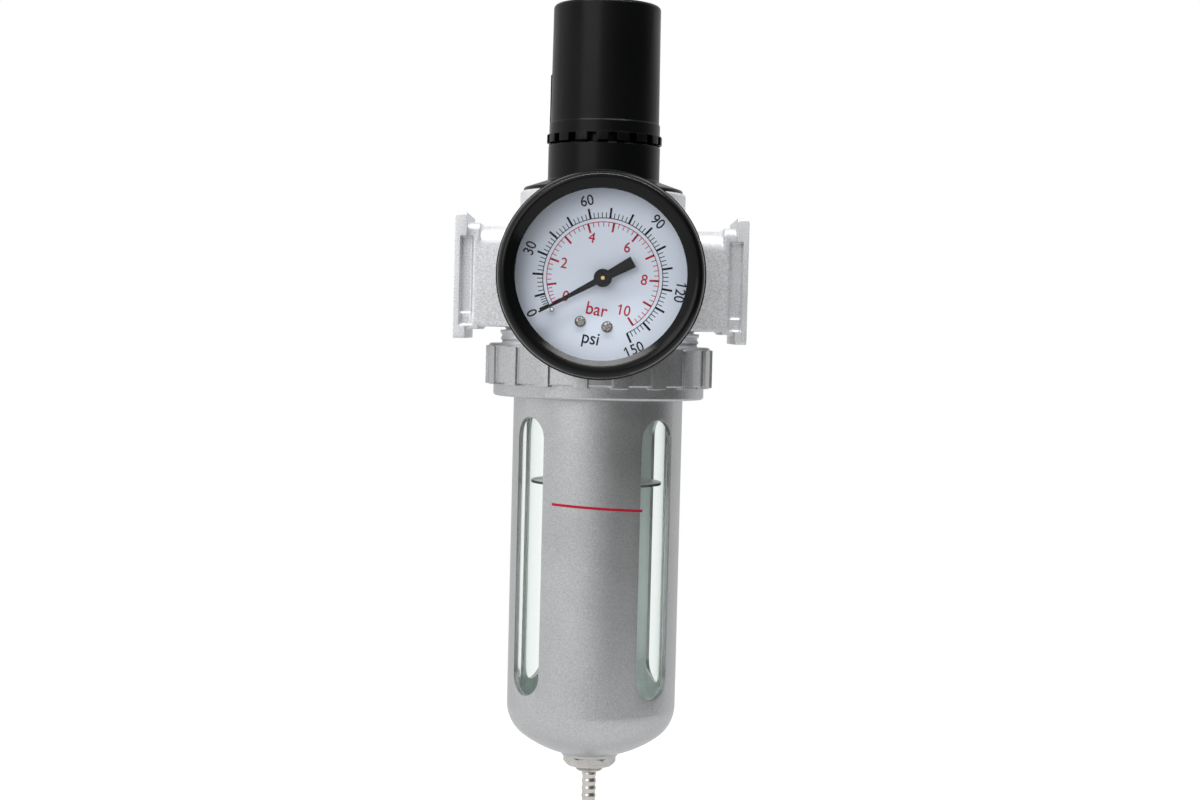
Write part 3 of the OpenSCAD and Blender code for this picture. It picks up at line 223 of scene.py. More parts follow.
def start_point(name, point):
    """A new piece of one vertex, left in edit mode."""
    deselect()
    bpy.ops.mesh.primitive_plane_add(size=MM, location=point)
    piece = context_piece(name)
    edit_all()
    bpy.ops.mesh.merge(type="CENTER")
    return piece


def draw_outline(points):
    """Extrudes the piece's one vertex along points, and joins its ends."""
    for here, there in zip(points, points[1:]):
        extrude(there - here)
    bpy.ops.mesh.select_all(action="DESELECT")
    bpy.ops.object.mode_set(mode="OBJECT")
    vertices = bpy.context.active_object.data.vertices
    vertices[0].select = True
    vertices[len(vertices) - 1].select = True
    bpy.ops.object.mode_set(mode="EDIT")
    bpy.ops.mesh.edge_face_add()
    bpy.ops.mesh.select_all(action="SELECT")


def close_piece(piece, smooth_angle=30):
    """Leaves edit mode, moves the piece's place into its mesh and smooths its faces."""
    pick(piece)
    bpy.ops.object.transform_apply(location=True, rotation=True, scale=True)
    bpy.ops.object.shade_smooth_by_angle(angle=math.radians(smooth_angle))


def apply_modifier(piece, kind, **values):
    """Adds a modifier with its values and applies it."""
    modifier = piece.modifiers.new(kind.title(), kind)
    for name, value in values.items():
        setattr(modifier, name, value)
    bpy.ops.object.modifier_apply(modifier=modifier.name)


WIND_STEPS = 40


def wind(piece, axis, length, turns):
    """Winds a piece's closed outline along an axis through its origin, and caps its ends."""
    apply_modifier(
        piece, "SCREW", axis=axis, screw_offset=length / turns, iterations=turns,
        steps=WIND_STEPS, render_steps=WIND_STEPS, use_merge_vertices=False,
    )
    edit_all()
    bpy.ops.mesh.fill_holes(sides=0)
    bpy.ops.mesh.select_all(action="SELECT")
    bpy.ops.mesh.normals_make_consistent(inside=False)
    bpy.ops.object.mode_set(mode="OBJECT")


def quad(name, corner, along, across):
    """A flat strip from a corner, along one way and across another."""
    piece = start_point(name, corner)
    extrude(along)
    bpy.ops.mesh.select_all(action="SELECT")
    extrude(across)
    bpy.ops.mesh.select_all(action="SELECT")
    return piece


def thicken(piece, depth):
    """Gives a flat print its thickness, half to each side."""
    pick(piece)
    apply_modifier(piece, "SOLIDIFY", thickness=depth, offset=0)
    return piece


def join(pieces, name):
    """Joins pieces into one."""
    pick(pieces[0])
    for piece in pieces[1:]:
        piece.select_set(True)
    bpy.ops.object.join()
    return context_piece(name)


def paint(piece, finish):
    """Gives a piece one finish."""
    piece.data.materials.clear()
    piece.data.materials.append(finish)


# Shader groups and materials


def group(name, inputs, outputs):
    """A new shader group with named sockets: (tree, input node, output node)."""
    tree = bpy.data.node_groups.new(name, "ShaderNodeTree")
    for socket, kind, value in inputs:
        made = tree.interface.new_socket(name=socket, in_out="INPUT", socket_type=kind)
        made.default_value = value
    for socket, kind in outputs:
        tree.interface.new_socket(name=socket, in_out="OUTPUT", socket_type=kind)
    return tree, tree.nodes.new("NodeGroupInput"), tree.nodes.new("NodeGroupOutput")


def fill(node, **values):
    """Sets a node's inputs, each named with _ for a space, and its properties."""
    for name, value in values.items():
        label = name.replace("_", " ")
        if label in node.inputs:
            node.inputs[label].default_value = value
        else:
            setattr(node, name, value)
    return node


def add(tree, kind, **values):
    """A new node with its inputs and properties set."""
    return fill(tree.nodes.new(kind), **values)


def noise(tree, coords, **values):
    """A new noise on some coordinates."""
    node = add(tree, "ShaderNodeTexNoise", **values)
    tree.links.new(coords, node.inputs["Vector"])
    return node


def math_node(tree, operation, a, b):
    """A math node on two values, each a socket or a number."""
    node = add(tree, "ShaderNodeMath", operation=operation)
    for slot, value in zip(node.inputs, (a, b)):
        if isinstance(value, (int, float)):
            slot.default_value = value
        else:
            tree.links.new(value, slot)
    return node.outputs[0]


def object_coords(tree):
    """The coordinates that the patterns follow."""
    return tree.nodes.new("ShaderNodeTexCoord").outputs["Object"]


def seen_rays(tree, path):
    """1 for the camera's rays, through clear plastic too, and 0 for the others."""
    return math_node(
        tree, "MAXIMUM", path.outputs["Is Camera Ray"], path.outputs["Is Transmission Ray"]
    )


# The usual span of a noise
NOISE_LOW = 0.3
NOISE_HIGH = 0.7


def ramp_between(tree, value, low, high):
    """Maps a noise's usual span onto low to high, each a socket or a number."""
    node = add(tree, "ShaderNodeMapRange", From_Min=NOISE_LOW, From_Max=NOISE_HIGH)
    tree.links.new(value, node.inputs["Value"])
    for name, bound in (("To Min", low), ("To Max", high)):
        if isinstance(bound, (int, float)):
            node.inputs[name].default_value = bound
        else:
            tree.links.new(bound, node.inputs[name])
    return node.outputs["Result"]


FLOAT = "NodeSocketFloat"
COLOR = "NodeSocketColor"
# The flakes' share of the paint's relief, and the level of a noise from which it is a scratch
FLAKE_RELIEF = 0.35
SCRATCH_FROM = 0.66


def tint(tree, source, tone, result):
    """Puts out a group's colour made lighter or darker by a tone."""
    mix = add(tree, "ShaderNodeMix", data_type="RGBA", blend_type="MULTIPLY", Factor=1)
    grey = tree.nodes.new("ShaderNodeCombineColor")
    for channel in grey.inputs:
        tree.links.new(tone, channel)
    tree.links.new(source.outputs["Color"], mix.inputs["A"])
    tree.links.new(grey.outputs["Color"], mix.inputs["B"])
    tree.links.new(mix.outputs["Result"], result.inputs["Color"])


def build_flake_group():
    """Metallic paint: bright and dark flakes over a fine orange peel."""
    tree, source, result = group(
        "Metallic Flake",
        [("Color", COLOR, (0.5, 0.5, 0.5, 1)), ("Flakes per m", FLOAT, 2600), ("Contrast", FLOAT, 0.2),
         ("Peel per m", FLOAT, 900), ("Sheen", FLOAT, 0.4)],
        [("Color", COLOR), ("Height", FLOAT), ("Roughness", FLOAT)],
    )
    coords = object_coords(tree)
    flakes = noise(tree, coords, Detail=2.0, Roughness=0.65)
    peel = noise(tree, coords, Detail=1.0)
    cloud = noise(tree, coords, Scale=55.0, Detail=2.0)
    tree.links.new(source.outputs["Flakes per m"], flakes.inputs["Scale"])
    tree.links.new(source.outputs["Peel per m"], peel.inputs["Scale"])
    low = math_node(tree, "SUBTRACT", 1.0, source.outputs["Contrast"])
    high = math_node(tree, "ADD", 1.0, source.outputs["Contrast"])
    gain = ramp_between(tree, flakes.outputs["Fac"], low, high)
    drift = ramp_between(tree, cloud.outputs["Fac"], 0.97, 1.03)
    tint(tree, source, math_node(tree, "MULTIPLY", gain, drift), result)
    relief = math_node(tree, "MULTIPLY", flakes.outputs["Fac"], FLAKE_RELIEF)
    tree.links.new(math_node(tree, "ADD", relief, peel.outputs["Fac"]), result.inputs["Height"])
    worn = ramp_between(tree, cloud.outputs["Fac"], 0.88, 1.12)
    tree.links.new(math_node(tree, "MULTIPLY", worn, source.outputs["Sheen"]), result.inputs["Roughness"])
    return tree


def build_handling_group():
    """Smears and fine scratches of a handled surface."""
    tree, source, result = group(
        "Handling",
        [("Smear Low", FLOAT, 0.2), ("Smear High", FLOAT, 0.35), ("Scratches", FLOAT, 0.3)],
        [("Roughness", FLOAT), ("Height", FLOAT)],
    )
    coords = object_coords(tree)
    smear = noise(tree, coords, Scale=70.0, Detail=4.0)
    stretch = add(tree, "ShaderNodeMapping", Scale=(900, 900, 90), Rotation=(0.3, 0.15, 0.4))
    tree.links.new(coords, stretch.inputs["Vector"])
    scratch = noise(tree, stretch.outputs["Vector"], Scale=1.0, Detail=3.0)
    patches = ramp_between(
        tree, smear.outputs["Fac"], source.outputs["Smear Low"], source.outputs["Smear High"]
    )
    tree.links.new(patches, result.inputs["Roughness"])
    lines = math_node(tree, "GREATER_THAN", scratch.outputs["Fac"], SCRATCH_FROM)
    tree.links.new(math_node(tree, "MULTIPLY", lines, source.outputs["Scratches"]), result.inputs["Height"])
    return tree


def build_turned_group():
    """Rings of a turned or plated surface about the upright axis."""
    tree, source, result = group(
        "Turned Metal",
        [("Color", COLOR, (0.6, 0.6, 0.6, 1)), ("Lines per m", FLOAT, 6000)],
        [("Color", COLOR), ("Roughness", FLOAT), ("Height", FLOAT)],
    )
    coords = object_coords(tree)
    stretch = add(tree, "ShaderNodeMapping", Scale=(0.05, 0.05, 1))
    tree.links.new(coords, stretch.inputs["Vector"])
    rings = noise(tree, stretch.outputs["Vector"], Detail=2.0)
    tree.links.new(source.outputs["Lines per m"], rings.inputs["Scale"])
    tarnish = noise(tree, coords, Scale=180.0, Detail=4.0)
    tint(tree, source, ramp_between(tree, tarnish.outputs["Fac"], 0.82, 1.06), result)
    tree.links.new(ramp_between(tree, rings.outputs["Fac"], 0.2, 0.36), result.inputs["Roughness"])
    tree.links.new(rings.outputs["Fac"], result.inputs["Height"])
    return tree


def rgba(color):
    """A colour with its alpha."""
    return (color[0], color[1], color[2], 1)


def material(name):
    """A new material: (material, tree, Principled BSDF)."""
    made = bpy.data.materials.new(name)
    made.use_nodes = True
    return made, made.node_tree, made.node_tree.nodes["Principled BSDF"]


def use_group(tree, source, **values):
    """Places a shader group in a material's tree with its values."""
    return fill(add(tree, "ShaderNodeGroup", node_tree=source), **values)


def bump(tree, bsdf, height, distance):
    """Feeds a height to a shader's normal."""
    node = add(tree, "ShaderNodeBump", Strength=1.0, Distance=distance)
    tree.links.new(height, node.inputs["Height"])
    tree.links.new(node.outputs["Normal"], bsdf.inputs["Normal"])


def silver_paint(name, flake, color, metal, contrast, flakes_per_m, depth, sheen):
    """Silver metallic paint over a casting."""
    made, tree, bsdf = material(name)
    grain = use_group(
        tree, flake, Color=rgba(color), Contrast=contrast, Sheen=sheen, Flakes_per_m=flakes_per_m
    )
    fill(bsdf, Metallic=metal)
    tree.links.new(grain.outputs["Color"], bsdf.inputs["Base Color"])
    tree.links.new(grain.outputs["Roughness"], bsdf.inputs["Roughness"])
    bump(tree, bsdf, grain.outputs["Height"], depth)
    return made


def gloss_black(name, handling, color, low, high, gloss):
    """Glossy black with the smears of handling."""
    made, tree, bsdf = material(name)
    marks = use_group(tree, handling, Smear_Low=low, Smear_High=high, Scratches=0.5)
    fill(bsdf, Base_Color=rgba(color), Specular_IOR_Level=gloss)
    tree.links.new(marks.outputs["Roughness"], bsdf.inputs["Roughness"])
    bump(tree, bsdf, marks.outputs["Height"], 0.004 * MM)
    return made


def bare_metal(name, turned, color, lines_per_m):
    """Plated or machined metal."""
    made, tree, bsdf = material(name)
    rings = use_group(tree, turned, Color=rgba(color), Lines_per_m=lines_per_m)
    fill(bsdf, Metallic=1)
    tree.links.new(rings.outputs["Color"], bsdf.inputs["Base Color"])
    tree.links.new(rings.outputs["Roughness"], bsdf.inputs["Roughness"])
    bump(tree, bsdf, rings.outputs["Height"], 0.006 * MM)
    return made


def soft_plain(name, handling, color, low, high, gloss=0.5):
    """Rubber, nylon or print: a plain colour whose sheen varies."""
    made, tree, bsdf = material(name)
    marks = use_group(tree, handling, Smear_Low=low, Smear_High=high, Scratches=0.2)
    fill(bsdf, Base_Color=rgba(color), Specular_IOR_Level=gloss)
    tree.links.new(marks.outputs["Roughness"], bsdf.inputs["Roughness"])
    bump(tree, bsdf, marks.outputs["Height"], 0.003 * MM)
    return made


def clear_plastic(name, color, ior, coat):
    """Clear moulded plastic with a faint waviness."""
    made, tree, bsdf = material(name)
    fill(bsdf, Base_Color=rgba(color), Transmission_Weight=1, Coat_Weight=coat, IOR=ior)
    waves = noise(tree, object_coords(tree), Scale=160.0, Detail=1.0)
    tree.links.new(ramp_between(tree, waves.outputs["Fac"], 0.01, 0.05), bsdf.inputs["Roughness"])
    bump(tree, bsdf, waves.outputs["Fac"], 0.01 * MM)
    path = tree.nodes.new("ShaderNodeLightPath")
    passing = add(tree, "ShaderNodeBsdfTransparent", Color=rgba(color))
    mix = tree.nodes.new("ShaderNodeMixShader")
    lamp_rays = math_node(tree, "MAXIMUM", path.outputs["Is Shadow Ray"], path.outputs["Is Diffuse Ray"])
    tree.links.new(lamp_rays, mix.inputs["Fac"])
    tree.links.new(bsdf.outputs["BSDF"], mix.inputs[1])
    tree.links.new(passing.outputs["BSDF"], mix.inputs[2])
    tree.links.new(mix.outputs["Shader"], tree.nodes["Material Output"].inputs["Surface"])
    return made


def filter_felt(name):
    """Sintered white beads of the filter element."""
    made, tree, bsdf = material(name)
    beads = add(tree, "ShaderNodeTexVoronoi", Scale=1800.0)
    tree.links.new(object_coords(tree), beads.inputs["Vector"])
    ramp = tree.nodes.new("ShaderNodeValToRGB")
    ramp.color_ramp.elements[0].color = (0.86, 0.85, 0.80, 1)
    ramp.color_ramp.elements[1].color = (0.62, 0.61, 0.56, 1)
    tree.links.new(beads.outputs["Distance"], ramp.inputs["Fac"])
    tree.links.new(ramp.outputs["Color"], bsdf.inputs["Base Color"])
    fill(bsdf, Roughness=0.8)
    bump(tree, bsdf, beads.outputs["Distance"], 0.15 * MM)
    return made


def build_materials():
    """All finishes by name."""
    finish = settings()[0]
    flake = build_flake_group()
    handling = build_handling_group()
    turned = build_turned_group()
    return {
        "casting": silver_paint(
            "casting_silver", flake, finish.casting,
            metal=0.5, contrast=0.26, flakes_per_m=3000, depth=0.03 * MM, sheen=0.42,
        ),
        "collar": silver_paint(
            "collar_silver", flake, finish.silver,
            metal=0.9, contrast=0.22, flakes_per_m=2800, depth=0.04 * MM, sheen=0.36,
        ),
        "guard": silver_paint(
            "guard_silver", flake, finish.silver,
            metal=0.9, contrast=0.20, flakes_per_m=3000, depth=0.02 * MM, sheen=0.34,
        ),
        # Painted light: the guard's inner face gets a near-white, hardly metallic coat that stands in for
        # light coming in through the windows
        "inside": silver_paint(
            "guard_inside_painted_light", flake, (0.96, 0.965, 0.97),
            metal=0.05, contrast=0.05, flakes_per_m=3400, depth=0.01 * MM, sheen=0.3,
        ),
        "knob": gloss_black("moulded_black", handling, finish.black, low=0.22, high=0.34, gloss=0.13),
        "bezel": gloss_black("bezel_black", handling, finish.black, low=0.14, high=0.22, gloss=0.2),
        "plate": bare_metal("nickel_plate", turned, (0.62, 0.60, 0.57), lines_per_m=5000),
        "screw": bare_metal("screw_plate", turned, (0.30, 0.29, 0.27), lines_per_m=7000),
        "steel": bare_metal("bright_steel", turned, (0.58, 0.58, 0.58), lines_per_m=7000),
        "brass": bare_metal("turned_brass", turned, (0.72, 0.52, 0.22), lines_per_m=6000),
        "rubber": soft_plain("nitrile_rubber", handling, (0.02, 0.02, 0.02), low=0.5, high=0.7),
        "nylon": soft_plain("black_nylon", handling, (0.03, 0.03, 0.032), low=0.4, high=0.55),
        "milky": soft_plain("natural_nylon", handling, (0.72, 0.74, 0.73), low=0.3, high=0.45),
        "pointer": soft_plain(
            "pointer_black", handling, (0.008, 0.008, 0.009), low=0.35, high=0.5, gloss=0.15
        ),
        "dial": soft_plain("dial_white", handling, finish.dial_white, low=0.35, high=0.5),
        "ink_black": soft_plain(
            "print_black", handling, finish.print_black, low=0.4, high=0.55, gloss=0.1
        ),
        "ink_red": soft_plain("print_red", handling, finish.print_red, low=0.4, high=0.55, gloss=0.1),
        "bowl": clear_plastic("clear_bowl", (0.965, 0.994, 0.982), ior=1.06, coat=0.4),
        "lens": clear_plastic("clear_lens", (0.99, 0.995, 1.0), ior=1.2, coat=0),
        "felt": filter_felt("filter_white"),
    }


finishes = {}
WHITE = (1, 1, 1)
FLOOR_GREY = (0.55, 0.55, 0.55)


class REGULATOR_OT_stage(bpy.types.Operator):
    """Camera in front of the gauge, pale floor, soft lamps and a white backdrop"""

    bl_idname = "regulator.stage"
    bl_label = "Stage"

    def execute(self, context):
        stage = settings()[2]
        scene = context.scene
        scene.view_settings.view_transform = "Standard"
        self.add_camera(scene, stage)
        self.add_floor(stage)
        self.add_lamps()
        self.add_world(scene)
        return {"FINISHED"}

    def add_camera(self, scene, stage):
        """The camera, a little rolled."""
        place = Vector((axis_x + stage.aside, -stage.distance, stage.eye))
        aim = Vector((axis_x + stage.aside, 0, stage.aim))
        deselect()
        bpy.ops.object.camera_add(location=place)
        camera = bpy.context.active_object
        camera.name = "camera"
        camera.data.lens = stage.lens
        camera.data.sensor_width = 36
        camera.rotation_mode = "QUATERNION"
        level = (aim - place).to_track_quat("-Z", "Y")
        camera.rotation_quaternion = level @ Quaternion(UP, stage.roll)
        camera.data.clip_start = 0.01
        scene.camera = camera

    def add_floor(self, stage):
        """A pale floor that glows for the camera, and less in reflections."""
        glow_strength = 0.6
        glow_in_mirrors = 0.5
        deselect()
        low = cad_box[0].z - stage.floor_drop
        bpy.ops.mesh.primitive_plane_add(size=stage.floor_size, location=(axis_x, 0, low))
        floor = bpy.context.active_object
        floor.name = "floor"
        made, tree, bsdf = material("floor_white")
        fill(bsdf, Base_Color=rgba(FLOOR_GREY), Roughness=0.9, Specular_IOR_Level=0)
        fill(bsdf, Emission_Color=rgba(WHITE))
        path = tree.nodes.new("ShaderNodeLightPath")
        mirrored = math_node(tree, "MULTIPLY", path.outputs["Is Glossy Ray"], glow_in_mirrors)
        shown = math_node(tree, "MAXIMUM", seen_rays(tree, path), mirrored)
        glow = math_node(tree, "MULTIPLY", shown, glow_strength)
        tree.links.new(glow, bsdf.inputs["Emission Strength"])
        paint(floor, made)

    def add_lamps(self):
        """A soft key lamp from the left and a narrow one from above."""
        target = Vector((axis_x, 0, -0.03))
        lamps = (
            ("key_lamp", (-0.60, -0.95, 0.48), 0.9, 0.9, 4.5),
            ("top_lamp", (axis_x, -0.22, 0.58), 0.84, 0.06, 4.0),
        )
        for name, place, width, depth, power in lamps:
            deselect()
            bpy.ops.object.light_add(type="AREA", location=place)
            lamp = bpy.context.active_object
            lamp.name = name
            lamp.data.shape = "RECTANGLE"
            lamp.data.size = width
            lamp.data.size_y = depth
            lamp.data.energy = power
            lamp.rotation_mode = "QUATERNION"
            lamp.rotation_quaternion = (target - Vector(place)).to_track_quat("-Z", "Y")

    def add_world(self, scene):
        """A studio that is white for the camera, with dimmer walls for the lighting."""
        world = bpy.data.worlds.new("studio")
        scene.world = world
        world.use_nodes = True
        tree = world.node_tree
        shade = tree.nodes["Background"]
        path = tree.nodes.new("ShaderNodeLightPath")
        walls = None
        for aim, near, far, low in (
            ((0, -1, 0), -0.3, 0.95, 0.68),
            ((0.87, -0.50, 0), 0.25, 0.92, 0.12),
            ((0, 1, 0), 0.1, 0.9, 0.72),
            ((0, 0, 1), 0.35, 0.95, 0.7),
        ):
            wall = self.dark_wall(tree, aim, near, far, low)
            walls = wall if walls is None else math_node(tree, "MULTIPLY", walls, wall)
        level = math_node(tree, "MAXIMUM", walls, seen_rays(tree, path))
        fill(shade, Color=rgba(WHITE))
        tree.links.new(level, shade.inputs["Strength"])

    def dark_wall(self, tree, aim, near, far, low):
        """A part of the studio around one direction that falls off to a lower level."""
        coords = tree.nodes.new("ShaderNodeTexCoord")
        toward = add(tree, "ShaderNodeVectorMath", operation="DOT_PRODUCT")
        toward.inputs[1].default_value = aim
        tree.links.new(coords.outputs["Generated"], toward.inputs[0])
        wall = add(
            tree, "ShaderNodeMapRange", interpolation_type="SMOOTHSTEP",
            From_Min=near, From_Max=far, To_Min=1.0, To_Max=low,
        )
        tree.links.new(toward.outputs["Value"], wall.inputs["Value"])
        return wall.outputs["Result"]


class REGULATOR_OT_finishes(bpy.types.Operator):
    """Finishes of the pieces that keep their solids"""

    bl_idname = "regulator.finishes"
    bl_label = "Finishes"

    def execute(self, context):
        finishes.update(build_materials())
        worn = {
            "knob": ["bonnet"],
            "bezel": ["gauge_case"],
            "plate": ["drain_body", "drain_stem", "rear_plug"],
            "steel": ["adjusting_screw", "screw_clip", "diaphragm_plate"],
            "brass": ["thrust_washer", "spring_nut", "relief_seat", "gauge_stem", "pointer_arbor",
                      "sector_gear", "movement_back", "movement_pillars", "movement_front",
                      "bourdon_tube", "tube_link"],
            "rubber": ["valve_seal", "guide_ring", "bowl_ring", "drain_gasket", "drain_seal",
                       "lens_gasket"],
            "nylon": ["valve_guide", "deflector"],
            "pointer": ["pointer"],
            "dial": ["gauge_dial"],
            "lens": ["gauge_lens"],
            "felt": ["filter_element"],
        }
        for finish, names in worn.items():
            for name in names:
                paint(nodes[name], finishes[finish])
        return {"FINISHED"}


def on_dial(radius, angle):
    """A point on the dial's face, about the pointer's axis, with its turn."""
    turned = angle + settings()[1].turn
    return hub + radius * Vector((math.cos(turned), 0, math.sin(turned)))


def tick(name, angle, r0, r1, width):
    """One scale mark, left in edit mode."""
    turned = angle + settings()[1].turn
    side = Vector((-math.sin(turned), 0, math.cos(turned))) * width
    return quad(name, on_dial(r0, angle) - side / 2, on_dial(r1, angle) - on_dial(r0, angle), side)


def sweep(steps, angle, copies):
    """Spins what is selected clockwise about the pointer's axis, as a strip or as copies."""
    bpy.ops.mesh.select_all(action="SELECT")
    bpy.ops.mesh.spin(steps=steps, angle=angle, center=hub, axis=FRONT, dupli=copies)


ARC_STEPS = 96


def arc_strip(name, r, width, start, angle):
    """A printed arc, left in edit mode."""
    inner = on_dial(r - width / 2, start)
    piece = start_point(name, inner)
    extrude(on_dial(r + width / 2, start) - inner)
    sweep(ARC_STEPS, angle, False)
    return piece


# Font size and stroke in shares of the figure's height, and its width
FIGURE_SIZE = 1.38
FIGURE_BOLD = 0.013
FIGURE_NARROW = 0.92


def figure(name, words, place, angle, height):
    """Printed words on the dial, turned by an angle seen from the front."""
    deselect()
    bpy.ops.object.text_add(location=place, rotation=(math.pi / 2, -angle, 0))
    piece = bpy.context.active_object
    piece.name = name
    piece.data.body = words
    piece.data.align_x = "CENTER"
    piece.data.align_y = "CENTER"
    piece.data.size = height * FIGURE_SIZE
    piece.data.bevel_depth = FIGURE_BOLD * height
    piece.data.bevel_resolution = 0
    piece.scale.x = FIGURE_NARROW
    bpy.ops.object.convert(target="MESH")
    piece = bpy.context.active_object
    bpy.ops.object.transform_apply(location=True, rotation=True, scale=True)
    if words.startswith("1"):
        piece = join([piece, flag_of_one(name + "_flag", piece, place, angle, height)], name)
    return piece


# The flag of the 1 in shares of the figure's height
STEM_W = 0.1
FLAG_LAP = 0.04
FLAG_REACH = 0.22
FLAG_DROP = 0.18
FLAG_T = 0.15


def flag_of_one(name, piece, place, angle, height):
    """The short upper stroke of the 1 that starts printed words."""
    right = Vector((math.cos(angle), 0, math.sin(angle)))
    up = Vector((-math.sin(angle), 0, math.cos(angle)))
    spots = [spot.co - place for spot in piece.data.vertices]
    left = min(spot.dot(right) for spot in spots)
    top = max(spot.dot(up) for spot in spots if spot.dot(right) < left + STEM_W * height)
    corner = place + (left + FLAG_LAP * height) * right + top * up
    stroke = quad(name, corner, -height * (FLAG_REACH * right + FLAG_DROP * up), -FLAG_T * height * up)
    bpy.ops.object.mode_set(mode="OBJECT")
    return thicken(stroke, settings()[1].print_t)


# Fine marks to a bold one, the unit's height in figures, and how far some figures move in
FINE_PARTS = 5
UNIT_SIZE = 1.2
NEARER = 0.7 * MM


class REGULATOR_OT_dial_print(bpy.types.Operator):
    """Two scales, their figures and units, printed on the dial"""

    bl_idname = "regulator.dial_print"
    bl_label = "Dial print"

    def execute(self, context):
        dial = settings()[1]
        self.scale(
            "outer", dial.outer_r, dial.psi_step, top=150, major=10, figure_step=30,
            fine=(17.6 * MM, 0.23 * MM), bold=(18.9 * MM, 0.58 * MM),
            figure_r=21.0 * MM, unit="psi", unit_r=16.5 * MM, leaning=True, ink="ink_black",
        )
        self.scale(
            "inner", dial.inner_r, dial.bar_step, top=10, major=1, figure_step=2,
            fine=(13.8 * MM, 0.21 * MM), bold=(12.5 * MM, 0.56 * MM),
            figure_r=11.1 * MM, unit="bar", unit_r=8.7 * MM, nearer=(6, 10), ink="ink_red",
        )
        return {"FINISHED"}

    def scale(
        self, name, r, step, top, major, figure_step, fine, bold,
        figure_r, unit, unit_r, ink, leaning=False, nearer=(),
    ):
        """One scale: its arc, its fine and bold marks (end radius and width), figures and unit."""
        dial = settings()[1]
        first = dial.zero - dial.rest
        second = dial.zero - major * step
        reach = (top - major) * step
        spaces = top // major - 1
        marks = [arc_strip(name + "_arc", r, fine[1], first, first - second + reach)]
        marks.append(tick(name + "_first", first, r, *fine))
        sweep(FINE_PARTS - 1, (first - second) * (FINE_PARTS - 1) / FINE_PARTS, True)
        marks.append(tick(name + "_marks", second, r, *fine))
        sweep(spaces * FINE_PARTS, reach, True)
        marks.append(tick(name + "_zero", first, r, *bold))
        marks.append(tick(name + "_bold", second, r, *bold))
        sweep(spaces, reach, True)
        marks = [thicken(join(marks, name + "_scale"), dial.print_t)]
        for value in range(0, top + 1, figure_step):
            angle = first if value == 0 else dial.zero - value * step
            lean = dial.turn
            if leaning:
                lean += angle + (math.pi / 2 if value == top else -math.pi / 2)
            place = on_dial(figure_r - (NEARER if value in nearer else 0), angle)
            marks.append(figure(f"{name}_{value}", str(value), place, lean, dial.figure_h))
        place = on_dial(unit_r, -math.pi / 2)
        marks.append(figure(name + "_unit", unit, place, dial.turn, UNIT_SIZE * dial.figure_h))
        self.print_on(marks, name + "_scale", ink)

    def print_on(self, pieces, name, ink):
        """Joins the print's pieces and gives them their ink."""
        piece = join(pieces, name)
        close_piece(piece)
        paint(piece, finishes[ink])
        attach(piece, "main")


# Steps up a screw head: the share of its height, and of the width below
HEAD_STEPS = ((0.5, 1.0), (0.25, 0.9), (0.17, 0.8), (0.08, 0.7))
# A recess slot's length and width in shares of the head's radius, and depth of its height
SLOT_LENGTH = 1.25
SLOT_WIDTH = 0.3
SLOT_DEPTH = 1.3
SLOT_TURN = 0.4


class REGULATOR_OT_dial_screws(bpy.types.Operator):
    """Two pan-head screws with a cross recess that hold the dial"""

    bl_idname = "regulator.dial_screws"
    bl_label = "Dial screws"

    def execute(self, context):
        low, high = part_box("dial_screws")
        spots = [spot.co for spot in nodes["dial_screws"].data.vertices]
        between = (low.x + high.x) / 2
        heads = []
        for side in (-1, 1):
            own = [spot for spot in spots if side * (spot.x - between) > 0]
            left = min(spot.x for spot in own)
            right = max(spot.x for spot in own)
            bottom = min(spot.z for spot in own)
            top = max(spot.z for spot in own)
            foot = Vector(((left + right) / 2, high.y, (bottom + top) / 2))
            turn = SLOT_TURN * side
            heads.append(self.head("dial_screw", foot, (right - left) / 2, high.y - low.y, turn))
        piece = join(heads, "dial_screw_heads")
        close_piece(piece, 35)
        paint(piece, finishes["screw"])
        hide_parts("dial_screws")
        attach(piece, "main")
        return {"FINISHED"}

    def head(self, name, foot, r, height, turn):
        """One head on its foot, with the recess turned by an angle."""
        deselect()
        bpy.ops.mesh.primitive_circle_add(
            vertices=32, radius=r, fill_type="NGON", location=foot, rotation=(math.pi / 2, 0, 0)
        )
        piece = context_piece(name)
        bpy.ops.object.transform_apply(location=True, rotation=True)
        edit_all()
        for lift, narrow in HEAD_STEPS:
            extrude(lift * height * FRONT)
            bpy.ops.transform.resize(value=(narrow, 1, narrow))
        bpy.ops.mesh.select_all(action="SELECT")
        bpy.ops.mesh.normals_make_consistent(inside=False)
        for quarter in (0, 1):
            self.cut_slot(piece, foot + height * FRONT, r, height, turn + quarter * math.pi / 2)
        return piece

    def cut_slot(self, piece, top, r, height, turn):
        """Cuts one slot of the cross recess."""
        deselect()
        bpy.ops.mesh.primitive_cube_add(size=1, location=top, rotation=(0, turn, 0))
        cutter = bpy.context.active_object
        cutter.scale = (SLOT_LENGTH * r, SLOT_DEPTH * height, SLOT_WIDTH * r)
        bpy.ops.object.transform_apply(location=True, rotation=True, scale=True)
        pick(piece)
        apply_modifier(piece, "BOOLEAN", operation="DIFFERENCE", object=cutter)
        bpy.data.objects.remove(cutter)


